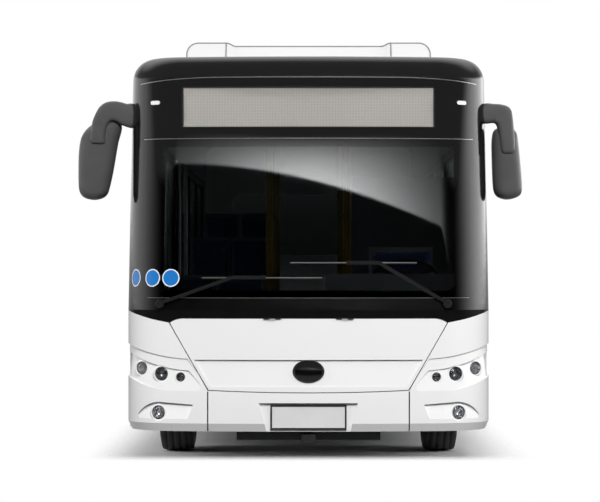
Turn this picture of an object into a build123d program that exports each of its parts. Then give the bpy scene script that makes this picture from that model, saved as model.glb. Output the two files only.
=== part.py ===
from build123d import *
import os
from collections import namedtuple
from math import asin, atan, cos, degrees, pi, radians, sin, sqrt

# A low-floor city bus at full size, in millimetres.
# The nose points along -Y, +X is the bus's left (driver's) side and the ground is Z = 0.

os.makedirs("parts", exist_ok=True)

# Body shell
LENGTH = 12000.0
WIDTH = 2550.0
ROOF_Z = 2935.0
SKIRT_Z = 320.0
WAIST_Z = 1160.0
CANTRAIL_Z = 2460.0
SIDE_LEAN = 24.0
ROOF_EDGE_R = 160.0
WALL = 60.0
BAND_WALL = 40.0
GLASS = 8.0
OVERRUN = 50.0
MOVE_GAP = 6.0

# Shape of the two ends: bow and corner radii in plan, rake from waist to roof
Cap = namedtuple("Cap", "end depth bow_r corner_r rake")
FRONT = Cap(-1, 640.0, 6000.0, 400.0, 140.0)
REAR = Cap(1, 300.0, 14000.0, 160.0, 50.0)

# Front view: joints between flap, bumper, corner panels and black mask
LIP_Z = 375.0
LIP_IN = 26.0
FLAP_TOP_Z = 1106.0
FLAP_ROUND_X = 850.0
FLAP_ROUND = (925.0, 1096.0)
FLAP_CORNER = (969.0, 1073.0)
JOINT = (697.0, 602.0)
JOINT_MID_Z = 586.0
PANEL_TOP_MID = (1127.0, 1106.0)
PANEL_TOP_END = (1300.0, 1164.0)
FLAP_T = 24.0
EDGE_GAP = 8.0
EDGE_LEAN = 1.6
CREASE_Z = 816.0
CREASE_X = 790.0
CREASE_IN = 16.0
SEAM = 9.0
SEAM_IN = 14.0

# Windscreen and sign glass, openings behind them
SCREEN_X = 1130.0
SCREEN_LOW_Z = 1244.0
SCREEN_SPLIT_Z = 2351.0
SCREEN_TOP_Z = 2772.0
VIEW_X = 1030.0
VIEW_LOW_Z = 1290.0
VIEW_TOP_Z = 2300.0
SIGN_X = 870.0
SIGN_LOW_Z = 2437.0
SIGN_TOP_Z = 2706.0
SIGN_T = 60.0

# Number-plate recess and plate carrier
PLATE_W = 527.0
PLATE_H = 172.0
PLATE_Z = 420.0
PLATE_T = 8.0
PLATE_IN = 34.0
PLATE_HOLE_R = 3.5
PLATE_HOLE_PITCH = 210.0
RECESS_TOP_X = 341.0
RECESS_LOW_X = 290.0
RECESS_TOP_Z = 518.0

# Lamps in each corner panel: place, radius and how far the axis turns outwards
Lamp = namedtuple("Lamp", "x z r turn")
LAMPS = (
    Lamp(1162.0, 751.0, 45.0, 24.0),
    Lamp(1020.0, 716.0, 48.0, 12.0),
    Lamp(886.0, 695.0, 32.0, 8.0),
    Lamp(1041.0, 447.0, 48.0, 14.0),
)
LAMP_RIM = 9.0
LAMP_FIT = 0.2
LAMP_BACK = 50.0
LAMP_PROUD = 12.0
LENS_ROUND = 0.4

# Low floor, raised rear floor, wheel boxes
FLOOR_Z = 380.0
FLOOR_FRONT_Y = -LENGTH / 2 + 480.0
RAISED_Z = 760.0
DECK_Y = LENGTH / 2 - 1600.0
DECK_Z = 1080.0
SLAB = 60.0
BOX_T = 15.0
BOX_TOP_Z = 1080.0
FRONT_BOX_X = 540.0
REAR_BOX_X = 590.0
FRONT_BOX_HALF = 570.0
REAR_BOX_HALF = 560.0
CAB_STEP_Z = 600.0
CAB_X = 330.0
CAB_BACK_Y = -LENGTH / 2 + 1920.0

# Wheels and axles
FRONT_AXLE_Y = -LENGTH / 2 + 2700.0
REAR_AXLE_Y = LENGTH / 2 - 3350.0
STEP_Y = REAR_AXLE_Y - 1150.0
TYRE_R = 479.0
TYRE_W = 276.0
TYRE_BEAD = 40.0
TYRE_SHOULDER = 18.0
RIM_R = 286.0
RIM_T = 24.0
RIM_W = 200.0
FRONT_TYRE_X = 1037.0
REAR_OUT_X = 1092.0
REAR_IN_X = 772.0
HUB_BORE_R = 45.3
SPINDLE_R = 45.0
ARCH_R = 575.0
REAR_ARCH_R = 545.0
KINGPIN_X = 940.0
KINGPIN_R = 22.0
KINGPIN_FIT = 0.3

# Inward-swinging double doors on the right-hand side
Doorway = namedtuple("Doorway", "name y")
DOORWAYS = (Doorway("front_door", -LENGTH / 2 + 1290.0), Doorway("middle_door", STEP_Y - 1170.0))
LEAF_W = 588.0
LEAF_T = 40.0
LEAF_LOW_Z = 410.0
LEAF_TOP_Z = 2426.0
JAMB_GAP = 10.0
MEET_GAP = 20.0
ARM = 310.0
ARM_T = 16.0
ARM_W = 36.0
ARM_LIFT = 8.0
POST_R = 18.0
POST_TO_EDGE = 24.0
POST_IN = 84.0
PIVOT_IN = 29.0
PIN_R = 8.0
PIN_FIT = 0.4
LEAF_BORDER = 62.0

# Side windows
WINDOW_LOW_Z = 1215.0
WINDOW_TOP_Z = 2390.0
WINDOW_R = 70.0
PILLAR_W = 80.0
END_PILLAR_W = 140.0
CAB_WINDOW_W = 1100.0

# Rear face
REAR_GLASS_X = 950.0
REAR_GLASS_LOW_Z = 1560.0
REAR_GLASS_TOP_Z = 2380.0
LID_X = 800.0
LID_LOW_Z = 500.0
LID_TOP_Z = 1340.0
LID_T = 40.0
REAR_LAMP_X = 1040.0
REAR_LAMP_ZS = (700.0, 850.0, 1000.0, 1150.0)
REAR_LAMP_R = 58.0

# Lift-up hinges in the joints above the front flap and the rear lid: axis and place of each pair
Hinge = namedtuple("Hinge", "inward y z x")
HINGE_PROUD = 3.0
HINGE_R = 7.0
HINGE_PIN_R = 3.5
HINGE_FIT = 0.3
HINGE_NOTCH_R = 12.0
HINGE_TAB = 26.0
BARREL = 40.0
FLAP_HINGE = Hinge(1, -LENGTH / 2 - HINGE_PROUD, FLAP_TOP_Z - MOVE_GAP / 2, 250.0)
LID_HINGE = Hinge(-1, LENGTH / 2 - 1.0, LID_TOP_Z - MOVE_GAP / 2, 350.0)

SIDES = (-1, 1)
STANDING = (Align.CENTER, Align.CENTER, Align.MIN)
HANGING = (Align.CENTER, Align.CENTER, Align.MAX)
HALF = WIDTH / 2
FRONT_BACK_Y = -LENGTH / 2 + FRONT.depth
REAR_BACK_Y = LENGTH / 2 - REAR.depth
FACE_PLANE = Plane.XZ.offset(LENGTH / 2 + OVERRUN)
FACE_REACH = -(FRONT.depth + OVERRUN)
OPENING_HALF = LEAF_W + JAMB_GAP + MEET_GAP / 2


def window_row(y0, y1, count):
    """Ends of equal windows between two places, with a pillar after each."""
    pitch = (y1 - y0 + PILLAR_W) / count
    return [(y0 + k * pitch, y0 + (k + 1) * pitch - PILLAR_W) for k in range(count)]


CAB_WINDOW_Y = FRONT_BACK_Y + 30.0
BAND_END_Y = REAR_BACK_Y - END_PILLAR_W
DOOR_SIDE = OPENING_HALF + PILLAR_W
LEFT_WINDOWS = (window_row(CAB_WINDOW_Y, CAB_WINDOW_Y + CAB_WINDOW_W, 1)
                + window_row(CAB_WINDOW_Y + CAB_WINDOW_W + PILLAR_W, BAND_END_Y, 6))
RIGHT_WINDOWS = (window_row(DOORWAYS[0].y + DOOR_SIDE, DOORWAYS[1].y - DOOR_SIDE, 2)
                 + window_row(DOORWAYS[1].y + DOOR_SIDE, BAND_END_Y, 3))


def lean_at(z):
    """How far the side has leaned in at height z."""
    return SIDE_LEAN * max(0.0, z - WAIST_Z) / (ROOF_Z - WAIST_Z)


def cap_points(cap, inset, z):
    """Half width, nose, bow end and corner points of an end's plan outline at height z."""
    half = HALF - lean_at(z) - inset
    nose = LENGTH / 2 - cap.rake * max(0.0, z - WAIST_Z) / (ROOF_Z - WAIST_Z) - inset
    bow_r = cap.bow_r - inset
    corner_r = cap.corner_r - inset
    corner_x = half - corner_r
    turn = asin(corner_x / (bow_r - corner_r))
    corner_y = nose - bow_r + (bow_r - corner_r) * cos(turn)
    bow = (bow_r * sin(turn), nose - bow_r + bow_r * cos(turn))
    mid = (turn + pi / 2) / 2
    corner_mid = (corner_x + corner_r * sin(mid), corner_y + corner_r * cos(mid))
    return half, nose, bow, corner_mid, corner_x, corner_y


def cap_face(cap, inset, z):
    """Plan outline of one end of the body at height z, set in from its outer surface."""
    half, nose, bow, corner_mid, corner_x, corner_y = cap_points(cap, inset, z)
    back = LENGTH / 2 - cap.depth - (OVERRUN if inset else 0.0)
    end = cap.end
    with BuildSketch(Plane.XY.offset(z)) as face:
        with BuildLine():
            ThreePointArc((-bow[0], end * bow[1]), (0, end * nose), (bow[0], end * bow[1]))
            for s in SIDES:
                ThreePointArc((s * bow[0], end * bow[1]), (s * corner_mid[0], end * corner_mid[1]),
                              (s * half, end * corner_y))
                Line((s * half, end * corner_y), (s * half, end * back))
            Line((-half, end * back), (half, end * back))
        make_face()
    return face.sketch


def front_y(x, inset=0.0):
    """Y of the front's outer surface below the waist at distance x from the middle."""
    half, nose, bow, corner_mid, corner_x, corner_y = cap_points(FRONT, inset, WAIST_Z)
    if abs(x) <= bow[0]:
        bow_r = FRONT.bow_r - inset
        return -(nose - bow_r + sqrt(bow_r ** 2 - x ** 2))
    return -(corner_y + sqrt((FRONT.corner_r - inset) ** 2 - (abs(x) - corner_x) ** 2))


def cap_hull(cap, inset, low_z):
    """One end of the body as a solid: upright to the waist, raked above it, roof edge rounded."""
    top_z = ROOF_Z - inset
    with BuildPart() as hull:
        extrude(cap_face(cap, inset, low_z), amount=WAIST_Z - low_z)
        loft([cap_face(cap, inset, WAIST_Z), cap_face(cap, inset, top_z)], ruled=True)
        rim = hull.faces().sort_by(Axis.Z)[-1].edges().sort_by(Axis.Y)
        fillet(rim[:-1] if cap.end < 0 else rim[1:], ROOF_EDGE_R - inset)
    return hull.part


def leaning_hull(low_z, low_inset, high_z, high_inset):
    """Front hull between two heights with a different inset at each, for tapered recesses."""
    with BuildPart() as hull:
        loft([cap_face(FRONT, low_inset, low_z), cap_face(FRONT, high_inset, high_z)], ruled=True)
    return hull.part


def side_profile(side, low_z, high_z, inset, thickness):
    """Section of a side wall between two heights, following the lean above the waist."""
    levels = [low_z] + [WAIST_Z] * (low_z < WAIST_Z < high_z) + [high_z]
    outer = [(side * (HALF - lean_at(z) - inset), z) for z in levels]
    inner = [(side * (HALF - lean_at(z) - inset - thickness), z) for z in reversed(levels)]
    with BuildSketch(Plane.XZ) as profile:
        with BuildLine():
            Polyline(*outer, *inner, close=True)
        make_face()
    return profile.sketch


def along_y(profile, y0, y1):
    """Section in the XZ plane carried from y0 to y1."""
    with BuildPart() as bar:
        extrude(Pos(0, y1, 0) * profile, amount=y1 - y0)
    return bar.part


def hinge_rod(hinge, r, x0, x1):
    """Round bar on a hinge's axis between two distances from the middle of each of its pair."""
    with BuildPart() as rod:
        for s in SIDES:
            with BuildSketch(Plane.YZ.offset(s * hinge.x + x0)):
                with Locations((hinge.y, hinge.z)):
                    Circle(r)
            extrude(amount=x1 - x0)
    return rod.part


def hinge_barrel(hinge, up, x0, x1):
    """Barrel with a tab that reaches into the panel above (up = 1) or below (up = -1) the joint."""
    with BuildPart() as barrel:
        add(hinge_rod(hinge, HINGE_R, x0, x1))
        for s in SIDES:
            with BuildSketch(Plane.YZ.offset(s * hinge.x + x0)):
                with Locations((hinge.y + hinge.inward * HINGE_TAB / 2, hinge.z + up * HINGE_R)):
                    Rectangle(HINGE_TAB, 2 * HINGE_R)
            extrude(amount=x1 - x0)
    return barrel.part


def fixed_hinge(hinge):
    """Outer barrels of a pair of hinges with the pins they carry."""
    with BuildPart() as fixed:
        add(hinge_barrel(hinge, 1, -3 * BARREL / 2, -BARREL / 2 - 1))
        add(hinge_barrel(hinge, 1, BARREL / 2 + 1, 3 * BARREL / 2))
        add(hinge_rod(hinge, HINGE_PIN_R, -BARREL, BARREL))
    return fixed.part


def fixed_notches(hinge):
    """Room in the moving panel for the fixed barrels."""
    with BuildPart() as notches:
        add(hinge_rod(hinge, HINGE_NOTCH_R, -3 * BARREL / 2 - MOVE_GAP, -BARREL / 2))
        add(hinge_rod(hinge, HINGE_NOTCH_R, BARREL / 2, 3 * BARREL / 2 + MOVE_GAP))
    return notches.part


FRONT_OUTER = cap_hull(FRONT, 0.0, LIP_Z)
FRONT_INNER = cap_hull(FRONT, WALL, SKIRT_Z - OVERRUN)
REAR_OUTER = cap_hull(REAR, 0.0, SKIRT_Z)
REAR_INNER = cap_hull(REAR, WALL, SKIRT_Z - OVERRUN)

# Front view outlines of the pieces that make up the face
with BuildSketch(FACE_PLANE) as mask_region:
    with BuildLine():
        for s in SIDES:
            Line((0, FLAP_TOP_Z), (s * FLAP_ROUND_X, FLAP_TOP_Z))
            ThreePointArc((s * FLAP_ROUND_X, FLAP_TOP_Z), (s * FLAP_ROUND[0], FLAP_ROUND[1]),
                          (s * FLAP_CORNER[0], FLAP_CORNER[1]))
            ThreePointArc((s * FLAP_CORNER[0], FLAP_CORNER[1]), (s * PANEL_TOP_MID[0], PANEL_TOP_MID[1]),
                          (s * PANEL_TOP_END[0], PANEL_TOP_END[1]))
            Polyline((s * PANEL_TOP_END[0], PANEL_TOP_END[1]), (s * (HALF + OVERRUN), PANEL_TOP_END[1]),
                     (s * (HALF + OVERRUN), ROOF_Z + OVERRUN), (0, ROOF_Z + OVERRUN))
    make_face()

with BuildSketch(FACE_PLANE) as flap_region:
    with BuildLine():
        Line((-FLAP_ROUND_X, FLAP_TOP_Z), (FLAP_ROUND_X, FLAP_TOP_Z))
        for s in SIDES:
            ThreePointArc((s * FLAP_ROUND_X, FLAP_TOP_Z), (s * FLAP_ROUND[0], FLAP_ROUND[1]),
                          (s * FLAP_CORNER[0], FLAP_CORNER[1]))
            Line((s * FLAP_CORNER[0], FLAP_CORNER[1]), (s * JOINT[0], JOINT[1]))
        ThreePointArc((-JOINT[0], JOINT[1]), (0, JOINT_MID_Z), (JOINT[0], JOINT[1]))
    make_face()
    offset(amount=-MOVE_GAP, kind=Kind.INTERSECTION, mode=Mode.REPLACE)

with BuildSketch(FACE_PLANE) as bumper_region:
    with BuildLine():
        ThreePointArc((-JOINT[0], JOINT[1]), (0, JOINT_MID_Z), (JOINT[0], JOINT[1]))
        Polyline((JOINT[0], JOINT[1]), (JOINT[0], SKIRT_Z - OVERRUN), (-JOINT[0], SKIRT_Z - OVERRUN),
                 (-JOINT[0], JOINT[1]))
    make_face()

with BuildSketch(FACE_PLANE) as corner_region:
    with BuildLine():
        ThreePointArc(FLAP_CORNER, PANEL_TOP_MID, PANEL_TOP_END)
        Polyline(PANEL_TOP_END, (HALF + OVERRUN, PANEL_TOP_END[1]), (HALF + OVERRUN, SKIRT_Z - OVERRUN),
                 (JOINT[0], SKIRT_Z - OVERRUN), JOINT, FLAP_CORNER)
    make_face()
    mirror(about=Plane.YZ)

# Lower front shell with its undercut lip
with BuildPart() as lower_front:
    loft([cap_face(FRONT, LIP_IN, SKIRT_Z), cap_face(FRONT, 0.0, LIP_Z)], ruled=True)
    extrude(cap_face(FRONT, 0.0, LIP_Z), amount=WAIST_Z - LIP_Z)
    add(FRONT_INNER, mode=Mode.SUBTRACT)
    with Locations((0, FRONT_BACK_Y, SKIRT_Z)):
        Box(WIDTH + OVERRUN, OVERRUN, WIDTH, align=(Align.CENTER, Align.MIN, Align.CENTER),
            mode=Mode.SUBTRACT)

# Joint grooves between bumper and corner panels
with BuildPart() as joint_grooves:
    with BuildSketch(FACE_PLANE):
        with GridLocations(2 * JOINT[0], 1, 2, 1):
            with Locations((0, (JOINT[1] + SKIRT_Z) / 2)):
                Rectangle(SEAM, JOINT[1] - SKIRT_Z + OVERRUN)
    extrude(amount=FACE_REACH)
    add(leaning_hull(SKIRT_Z - OVERRUN, SEAM_IN, WAIST_Z, SEAM_IN), mode=Mode.SUBTRACT)

# Headlamp and fog-lamp recesses: a sharp brow above, running out to nothing below
RECESS_LEAD = 3.0
Recess = namedtuple("Recess", "brow inner low depth")
RECESSES = (
    Recess(((1290, 930), (1120, 868), (838, 822)), (709, 645), ((760, 575), (1080, 620), (1290, 700)), 13.0),
    Recess(((1290, 880), (1090, 790), (830, 741)), (745, 640), ((760, 575), (1080, 620), (1290, 700)), 32.0),
    Recess(((1190, 430), (1120, 500), (1000, 520)), (800, 505), ((840, 400), (1000, 392), (1185, 400)),
           24.0),
)


def recess_cut(recess):
    """Cutter for one recess on both sides of the face."""
    low_z = min(point[1] for point in recess.low)
    high_z = max(point[1] for point in recess.brow)
    with BuildPart() as cut:
        with BuildSketch(FACE_PLANE):
            with BuildLine():
                ThreePointArc(*recess.brow)
                Polyline(recess.brow[2], recess.inner, recess.low[0])
                ThreePointArc(*recess.low)
                Line(recess.low[2], recess.brow[0])
            make_face()
            mirror(about=Plane.YZ)
        extrude(amount=FACE_REACH)
        add(leaning_hull(low_z - 1, -RECESS_LEAD, high_z + 1, recess.depth), mode=Mode.SUBTRACT)
    return cut.part


def lamp_plane(lamp, side):
    """Plane on a lamp's axis at the bottom of its recess, facing forwards and a little outwards."""
    turn = radians(lamp.turn)
    return Plane(origin=(side * lamp.x, front_y(lamp.x, RECESSES[2].depth), lamp.z), x_dir=(0, 0, 1),
                 z_dir=(side * sin(turn), -cos(turn), 0))


with BuildPart() as corner_panels:
    add(lower_front.part)
    add(joint_grooves.part, mode=Mode.SUBTRACT)
    extrude(corner_region.sketch, amount=FACE_REACH, mode=Mode.INTERSECT)
    for recess in RECESSES:
        add(recess_cut(recess), mode=Mode.SUBTRACT)
    for lamp in LAMPS:
        for s in SIDES:
            with BuildSketch(lamp_plane(lamp, s)):
                Circle(lamp.r + LAMP_RIM)
            extrude(amount=2 * lamp.r, mode=Mode.SUBTRACT)
            with BuildSketch(lamp_plane(lamp, s).offset(-LAMP_BACK)):
                Circle(lamp.r + LAMP_RIM)
            extrude(amount=LAMP_BACK + LAMP_PROUD)
            with BuildSketch(lamp_plane(lamp, s).offset(-2 * LAMP_BACK)):
                Circle(lamp.r + LAMP_FIT)
            extrude(amount=4 * LAMP_BACK, mode=Mode.SUBTRACT)

with BuildPart() as front_bumper:
    add(lower_front.part)
    add(joint_grooves.part, mode=Mode.SUBTRACT)
    extrude(bumper_region.sketch, amount=FACE_REACH, mode=Mode.INTERSECT)
    with BuildSketch(FACE_PLANE):
        with BuildLine():
            Polyline((-RECESS_TOP_X, RECESS_TOP_Z), (RECESS_TOP_X, RECESS_TOP_Z),
                     (RECESS_LOW_X, SKIRT_Z - 1), (-RECESS_LOW_X, SKIRT_Z - 1), close=True)
        make_face()
    extrude(amount=-(OVERRUN + PLATE_IN), mode=Mode.SUBTRACT)

with BuildPart() as plate_carrier:
    with BuildSketch(Plane.XZ.offset(LENGTH / 2 - PLATE_IN)):
        with Locations((0, PLATE_Z)):
            RectangleRounded(PLATE_W, PLATE_H, 12)
            with GridLocations(PLATE_HOLE_PITCH, 1, 2, 1):
                Circle(PLATE_HOLE_R, mode=Mode.SUBTRACT)
    extrude(amount=PLATE_T)

# Flap with a crease below its middle; its slanted edges lean in with depth, so that they swing clear
with BuildPart() as flap_crease:
    with BuildSketch(FACE_PLANE):
        with BuildLine():
            Polyline((-CREASE_X, CREASE_Z), (CREASE_X, CREASE_Z), (JOINT[0] - 20, JOINT[1] + 30),
                     (-JOINT[0] + 20, JOINT[1] + 30), close=True)
        make_face()
    extrude(amount=FACE_REACH)
    add(leaning_hull(JOINT[1], 0.0, CREASE_Z, CREASE_IN), mode=Mode.SUBTRACT)


def flap_edge_plane(side):
    """Plane of a slanted edge of the flap, facing the middle of the flap."""
    run = Vector(FLAP_CORNER[0] - JOINT[0], FLAP_CORNER[1] - JOINT[1]).normalized()
    ends = []
    for x, z in (JOINT, FLAP_CORNER):
        edge_x = x - EDGE_GAP * run.Y
        ends.append(Vector(side * edge_x, front_y(edge_x), z + EDGE_GAP * run.X))
    lean = Vector(-side * EDGE_LEAN * run.Y, 1, EDGE_LEAN * run.X)
    return Plane(origin=ends[0], z_dir=(ends[1] - ends[0]).cross(lean) * side)


with BuildPart() as front_flap:
    add(lower_front.part)
    add(cap_hull(FRONT, FLAP_T, SKIRT_Z - OVERRUN), mode=Mode.SUBTRACT)
    extrude(flap_region.sketch, amount=FACE_REACH, mode=Mode.INTERSECT)
    for s in SIDES:
        split(bisect_by=flap_edge_plane(s), keep=Keep.TOP)
    add(flap_crease.part, mode=Mode.SUBTRACT)
    add(fixed_notches(FLAP_HINGE), mode=Mode.SUBTRACT)
    add(hinge_barrel(FLAP_HINGE, -1, -BARREL / 2, BARREL / 2))
    add(hinge_rod(FLAP_HINGE, HINGE_PIN_R + HINGE_FIT, -BARREL, BARREL), mode=Mode.SUBTRACT)


def round_lamp(plane, r, proud):
    """Drum-shaped lamp on a plane, with a rounded lens that stands proud of it."""
    with BuildPart() as drum:
        with BuildSketch(plane.offset(-LAMP_BACK)):
            Circle(r)
        extrude(amount=LAMP_BACK + proud)
        fillet(drum.faces().sort_by(Axis(plane.origin, plane.z_dir))[-1].edges(), r * LENS_ROUND)
    return drum.part


with BuildPart() as front_lamps:
    for lamp in LAMPS:
        for s in SIDES:
            add(round_lamp(lamp_plane(lamp, s), lamp.r, LAMP_PROUD - 2))

# Black mask round the glass: roof cap, pillars, cross-bar and cowl
with BuildSketch(FACE_PLANE) as screen_region:
    with Locations((0, (SCREEN_LOW_Z + SCREEN_SPLIT_Z - 4) / 2)):
        RectangleRounded(2 * SCREEN_X, SCREEN_SPLIT_Z - 4 - SCREEN_LOW_Z, 20)
    with Locations((0, (SCREEN_TOP_Z + SCREEN_SPLIT_Z + 4) / 2)):
        RectangleRounded(2 * SCREEN_X, SCREEN_TOP_Z - SCREEN_SPLIT_Z - 4, 20)

with BuildPart() as windscreen:
    add(FRONT_OUTER)
    add(cap_hull(FRONT, GLASS, SKIRT_Z), mode=Mode.SUBTRACT)
    extrude(screen_region.sketch, amount=FACE_REACH, mode=Mode.INTERSECT)

with BuildPart() as mask_ring:
    add(FRONT_OUTER)
    add(FRONT_INNER, mode=Mode.SUBTRACT)
    extrude(mask_region.sketch, amount=FACE_REACH, mode=Mode.INTERSECT)
    add(windscreen.part, mode=Mode.SUBTRACT)
    with BuildSketch(FACE_PLANE):
        with Locations((0, (VIEW_LOW_Z + VIEW_TOP_Z) / 2)):
            RectangleRounded(2 * VIEW_X, VIEW_TOP_Z - VIEW_LOW_Z, 90)
        with Locations((0, (SIGN_LOW_Z + SIGN_TOP_Z) / 2)):
            RectangleRounded(2 * SIGN_X + 60, SIGN_TOP_Z - SIGN_LOW_Z + 60, 30)
    extrude(amount=FACE_REACH, mode=Mode.SUBTRACT)

SIGN_Y = -LENGTH / 2 + 210.0
with BuildPart() as sign_shelf:
    with Locations((0, SIGN_Y, SIGN_LOW_Z)):
        Box(2 * VIEW_X, 160, 120, align=(Align.CENTER, Align.MIN, Align.MAX))
    add(FRONT_INNER, mode=Mode.INTERSECT)
with BuildPart() as sign_board:
    with Locations((0, SIGN_Y, SIGN_LOW_Z)):
        Box(2 * SIGN_X, SIGN_T, SIGN_TOP_Z - SIGN_LOW_Z, align=(Align.CENTER, Align.MIN, Align.MIN))


# Side walls: white below the waist, black window band above, white roof
def lower_wall(side):
    """Wall below the waist with its wheel arches."""
    with BuildPart() as wall:
        add(along_y(side_profile(side, SKIRT_Z, WAIST_Z, 0.0, WALL), FRONT_BACK_Y, REAR_BACK_Y))
        with BuildSketch(Plane.YZ.offset(side * HALF)):
            with Locations((FRONT_AXLE_Y, TYRE_R)):
                Circle(ARCH_R)
            with Locations((REAR_AXLE_Y, TYRE_R)):
                Circle(REAR_ARCH_R)
        extrude(amount=2 * WALL, both=True, mode=Mode.SUBTRACT)
    return wall.part


def window_prism(side, y0, y1):
    """Rounded window opening as a prism through the side wall."""
    with BuildPart() as prism:
        with BuildSketch(Plane.YZ.offset(side * HALF)):
            with Locations(((y0 + y1) / 2, (WINDOW_LOW_Z + WINDOW_TOP_Z) / 2)):
                RectangleRounded(y1 - y0, WINDOW_TOP_Z - WINDOW_LOW_Z, WINDOW_R)
        extrude(amount=2 * WALL, both=True)
    return prism.part


def window_pane(side, y0, y1):
    """Pane that fills a window opening, flush with the outside."""
    with BuildPart() as pane:
        add(along_y(side_profile(side, WAIST_Z, CANTRAIL_Z, 0.0, GLASS), y0, y1))
        add(window_prism(side, y0, y1), mode=Mode.INTERSECT)
    return pane.part


def doorway_cut(doorway):
    """Space that a doorway takes out of the right-hand wall."""
    with BuildPart() as gap:
        with Locations((-HALF, doorway.y, FLOOR_Z)):
            Box(4 * WALL, 2 * OPENING_HALF, 2 * CANTRAIL_Z)
    return gap.part


with BuildPart() as left_side:
    add(lower_wall(1))

with BuildPart() as right_side:
    add(lower_wall(-1))
    for doorway in DOORWAYS:
        add(doorway_cut(doorway), mode=Mode.SUBTRACT)

with BuildPart() as left_window_band:
    add(along_y(side_profile(1, WAIST_Z, CANTRAIL_Z, 0.0, BAND_WALL), FRONT_BACK_Y, REAR_BACK_Y))
    for y0, y1 in LEFT_WINDOWS:
        add(window_prism(1, y0, y1), mode=Mode.SUBTRACT)

with BuildPart() as right_window_band:
    add(along_y(side_profile(-1, WAIST_Z, CANTRAIL_Z, 0.0, BAND_WALL), FRONT_BACK_Y, REAR_BACK_Y))
    for y0, y1 in RIGHT_WINDOWS:
        add(window_prism(-1, y0, y1), mode=Mode.SUBTRACT)
    for doorway in DOORWAYS:
        add(doorway_cut(doorway), mode=Mode.SUBTRACT)

with BuildPart() as side_windows:
    for y0, y1 in LEFT_WINDOWS:
        add(window_pane(1, y0, y1))
    for y0, y1 in RIGHT_WINDOWS:
        add(window_pane(-1, y0, y1))


def roof_section(inset):
    """Upside-down tray: roof with rounded edges and cantrails."""
    half_low = HALF - lean_at(CANTRAIL_Z) - inset
    half_top = HALF - lean_at(ROOF_Z) - inset
    low_z = CANTRAIL_Z - (OVERRUN if inset else 0.0)
    with BuildSketch(Plane.XZ) as section:
        with BuildLine():
            Polyline((-half_low, low_z), (half_low, low_z), (half_top, ROOF_Z - inset),
                     (-half_top, ROOF_Z - inset), close=True)
        make_face()
        fillet(section.vertices().sort_by(Axis.Y)[-2:], ROOF_EDGE_R - inset)
    return section.sketch


with BuildPart() as roof:
    add(along_y(roof_section(0.0), FRONT_BACK_Y, REAR_BACK_Y))
    add(along_y(roof_section(WALL), FRONT_BACK_Y - OVERRUN, REAR_BACK_Y + OVERRUN), mode=Mode.SUBTRACT)

# Rear wall with window, lid and lamps
REAR_PLANE = Plane.XZ.offset(-LENGTH / 2 - OVERRUN)
REAR_REACH = REAR.depth + OVERRUN


def rear_prism(x, low_z, top_z, r):
    """Rounded rectangle in the rear view, carried through the rear cap."""
    with BuildPart() as prism:
        with BuildSketch(REAR_PLANE):
            with Locations((0, (low_z + top_z) / 2)):
                RectangleRounded(2 * x, top_z - low_z, r)
        extrude(amount=REAR_REACH)
    return prism.part


def rear_lamp_plane(side, z):
    """Plane on a rear lamp's axis, at the rear wall's outer surface."""
    bow = REAR.bow_r - sqrt(REAR.bow_r ** 2 - REAR_LAMP_X ** 2)
    return Plane(origin=(side * REAR_LAMP_X, LENGTH / 2 - bow, z), x_dir=(1, 0, 0), z_dir=(0, 1, 0))


with BuildPart() as rear_window:
    add(REAR_OUTER)
    add(cap_hull(REAR, GLASS, SKIRT_Z), mode=Mode.SUBTRACT)
    add(rear_prism(REAR_GLASS_X, REAR_GLASS_LOW_Z, REAR_GLASS_TOP_Z, WINDOW_R), mode=Mode.INTERSECT)

with BuildPart() as rear_wall:
    add(REAR_OUTER)
    add(REAR_INNER, mode=Mode.SUBTRACT)
    add(rear_window.part, mode=Mode.SUBTRACT)
    add(rear_prism(REAR_GLASS_X - WALL, REAR_GLASS_LOW_Z + WALL, REAR_GLASS_TOP_Z - WALL, WINDOW_R),
        mode=Mode.SUBTRACT)
    add(rear_prism(LID_X, LID_LOW_Z, LID_TOP_Z, 40), mode=Mode.SUBTRACT)
    for s in SIDES:
        for z in REAR_LAMP_ZS:
            with BuildSketch(rear_lamp_plane(s, z).offset(-REAR_REACH)):
                Circle(REAR_LAMP_R + LAMP_FIT)
            extrude(amount=2 * REAR_REACH, mode=Mode.SUBTRACT)
    add(hinge_rod(LID_HINGE, HINGE_NOTCH_R, -BARREL / 2 - 1, BARREL / 2 + 1), mode=Mode.SUBTRACT)
    add(fixed_hinge(LID_HINGE))

with BuildPart() as rear_lid:
    add(REAR_OUTER)
    add(cap_hull(REAR, LID_T, SKIRT_Z - OVERRUN), mode=Mode.SUBTRACT)
    add(rear_prism(LID_X - MOVE_GAP, LID_LOW_Z + MOVE_GAP, LID_TOP_Z - MOVE_GAP, 36), mode=Mode.INTERSECT)
    add(fixed_notches(LID_HINGE), mode=Mode.SUBTRACT)
    add(hinge_barrel(LID_HINGE, -1, -BARREL / 2, BARREL / 2))
    add(hinge_rod(LID_HINGE, HINGE_PIN_R + HINGE_FIT, -BARREL, BARREL), mode=Mode.SUBTRACT)

with BuildPart() as rear_lamps:
    for s in SIDES:
        for z in REAR_LAMP_ZS:
            add(round_lamp(rear_lamp_plane(s, z), REAR_LAMP_R, LAMP_PROUD))

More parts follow.
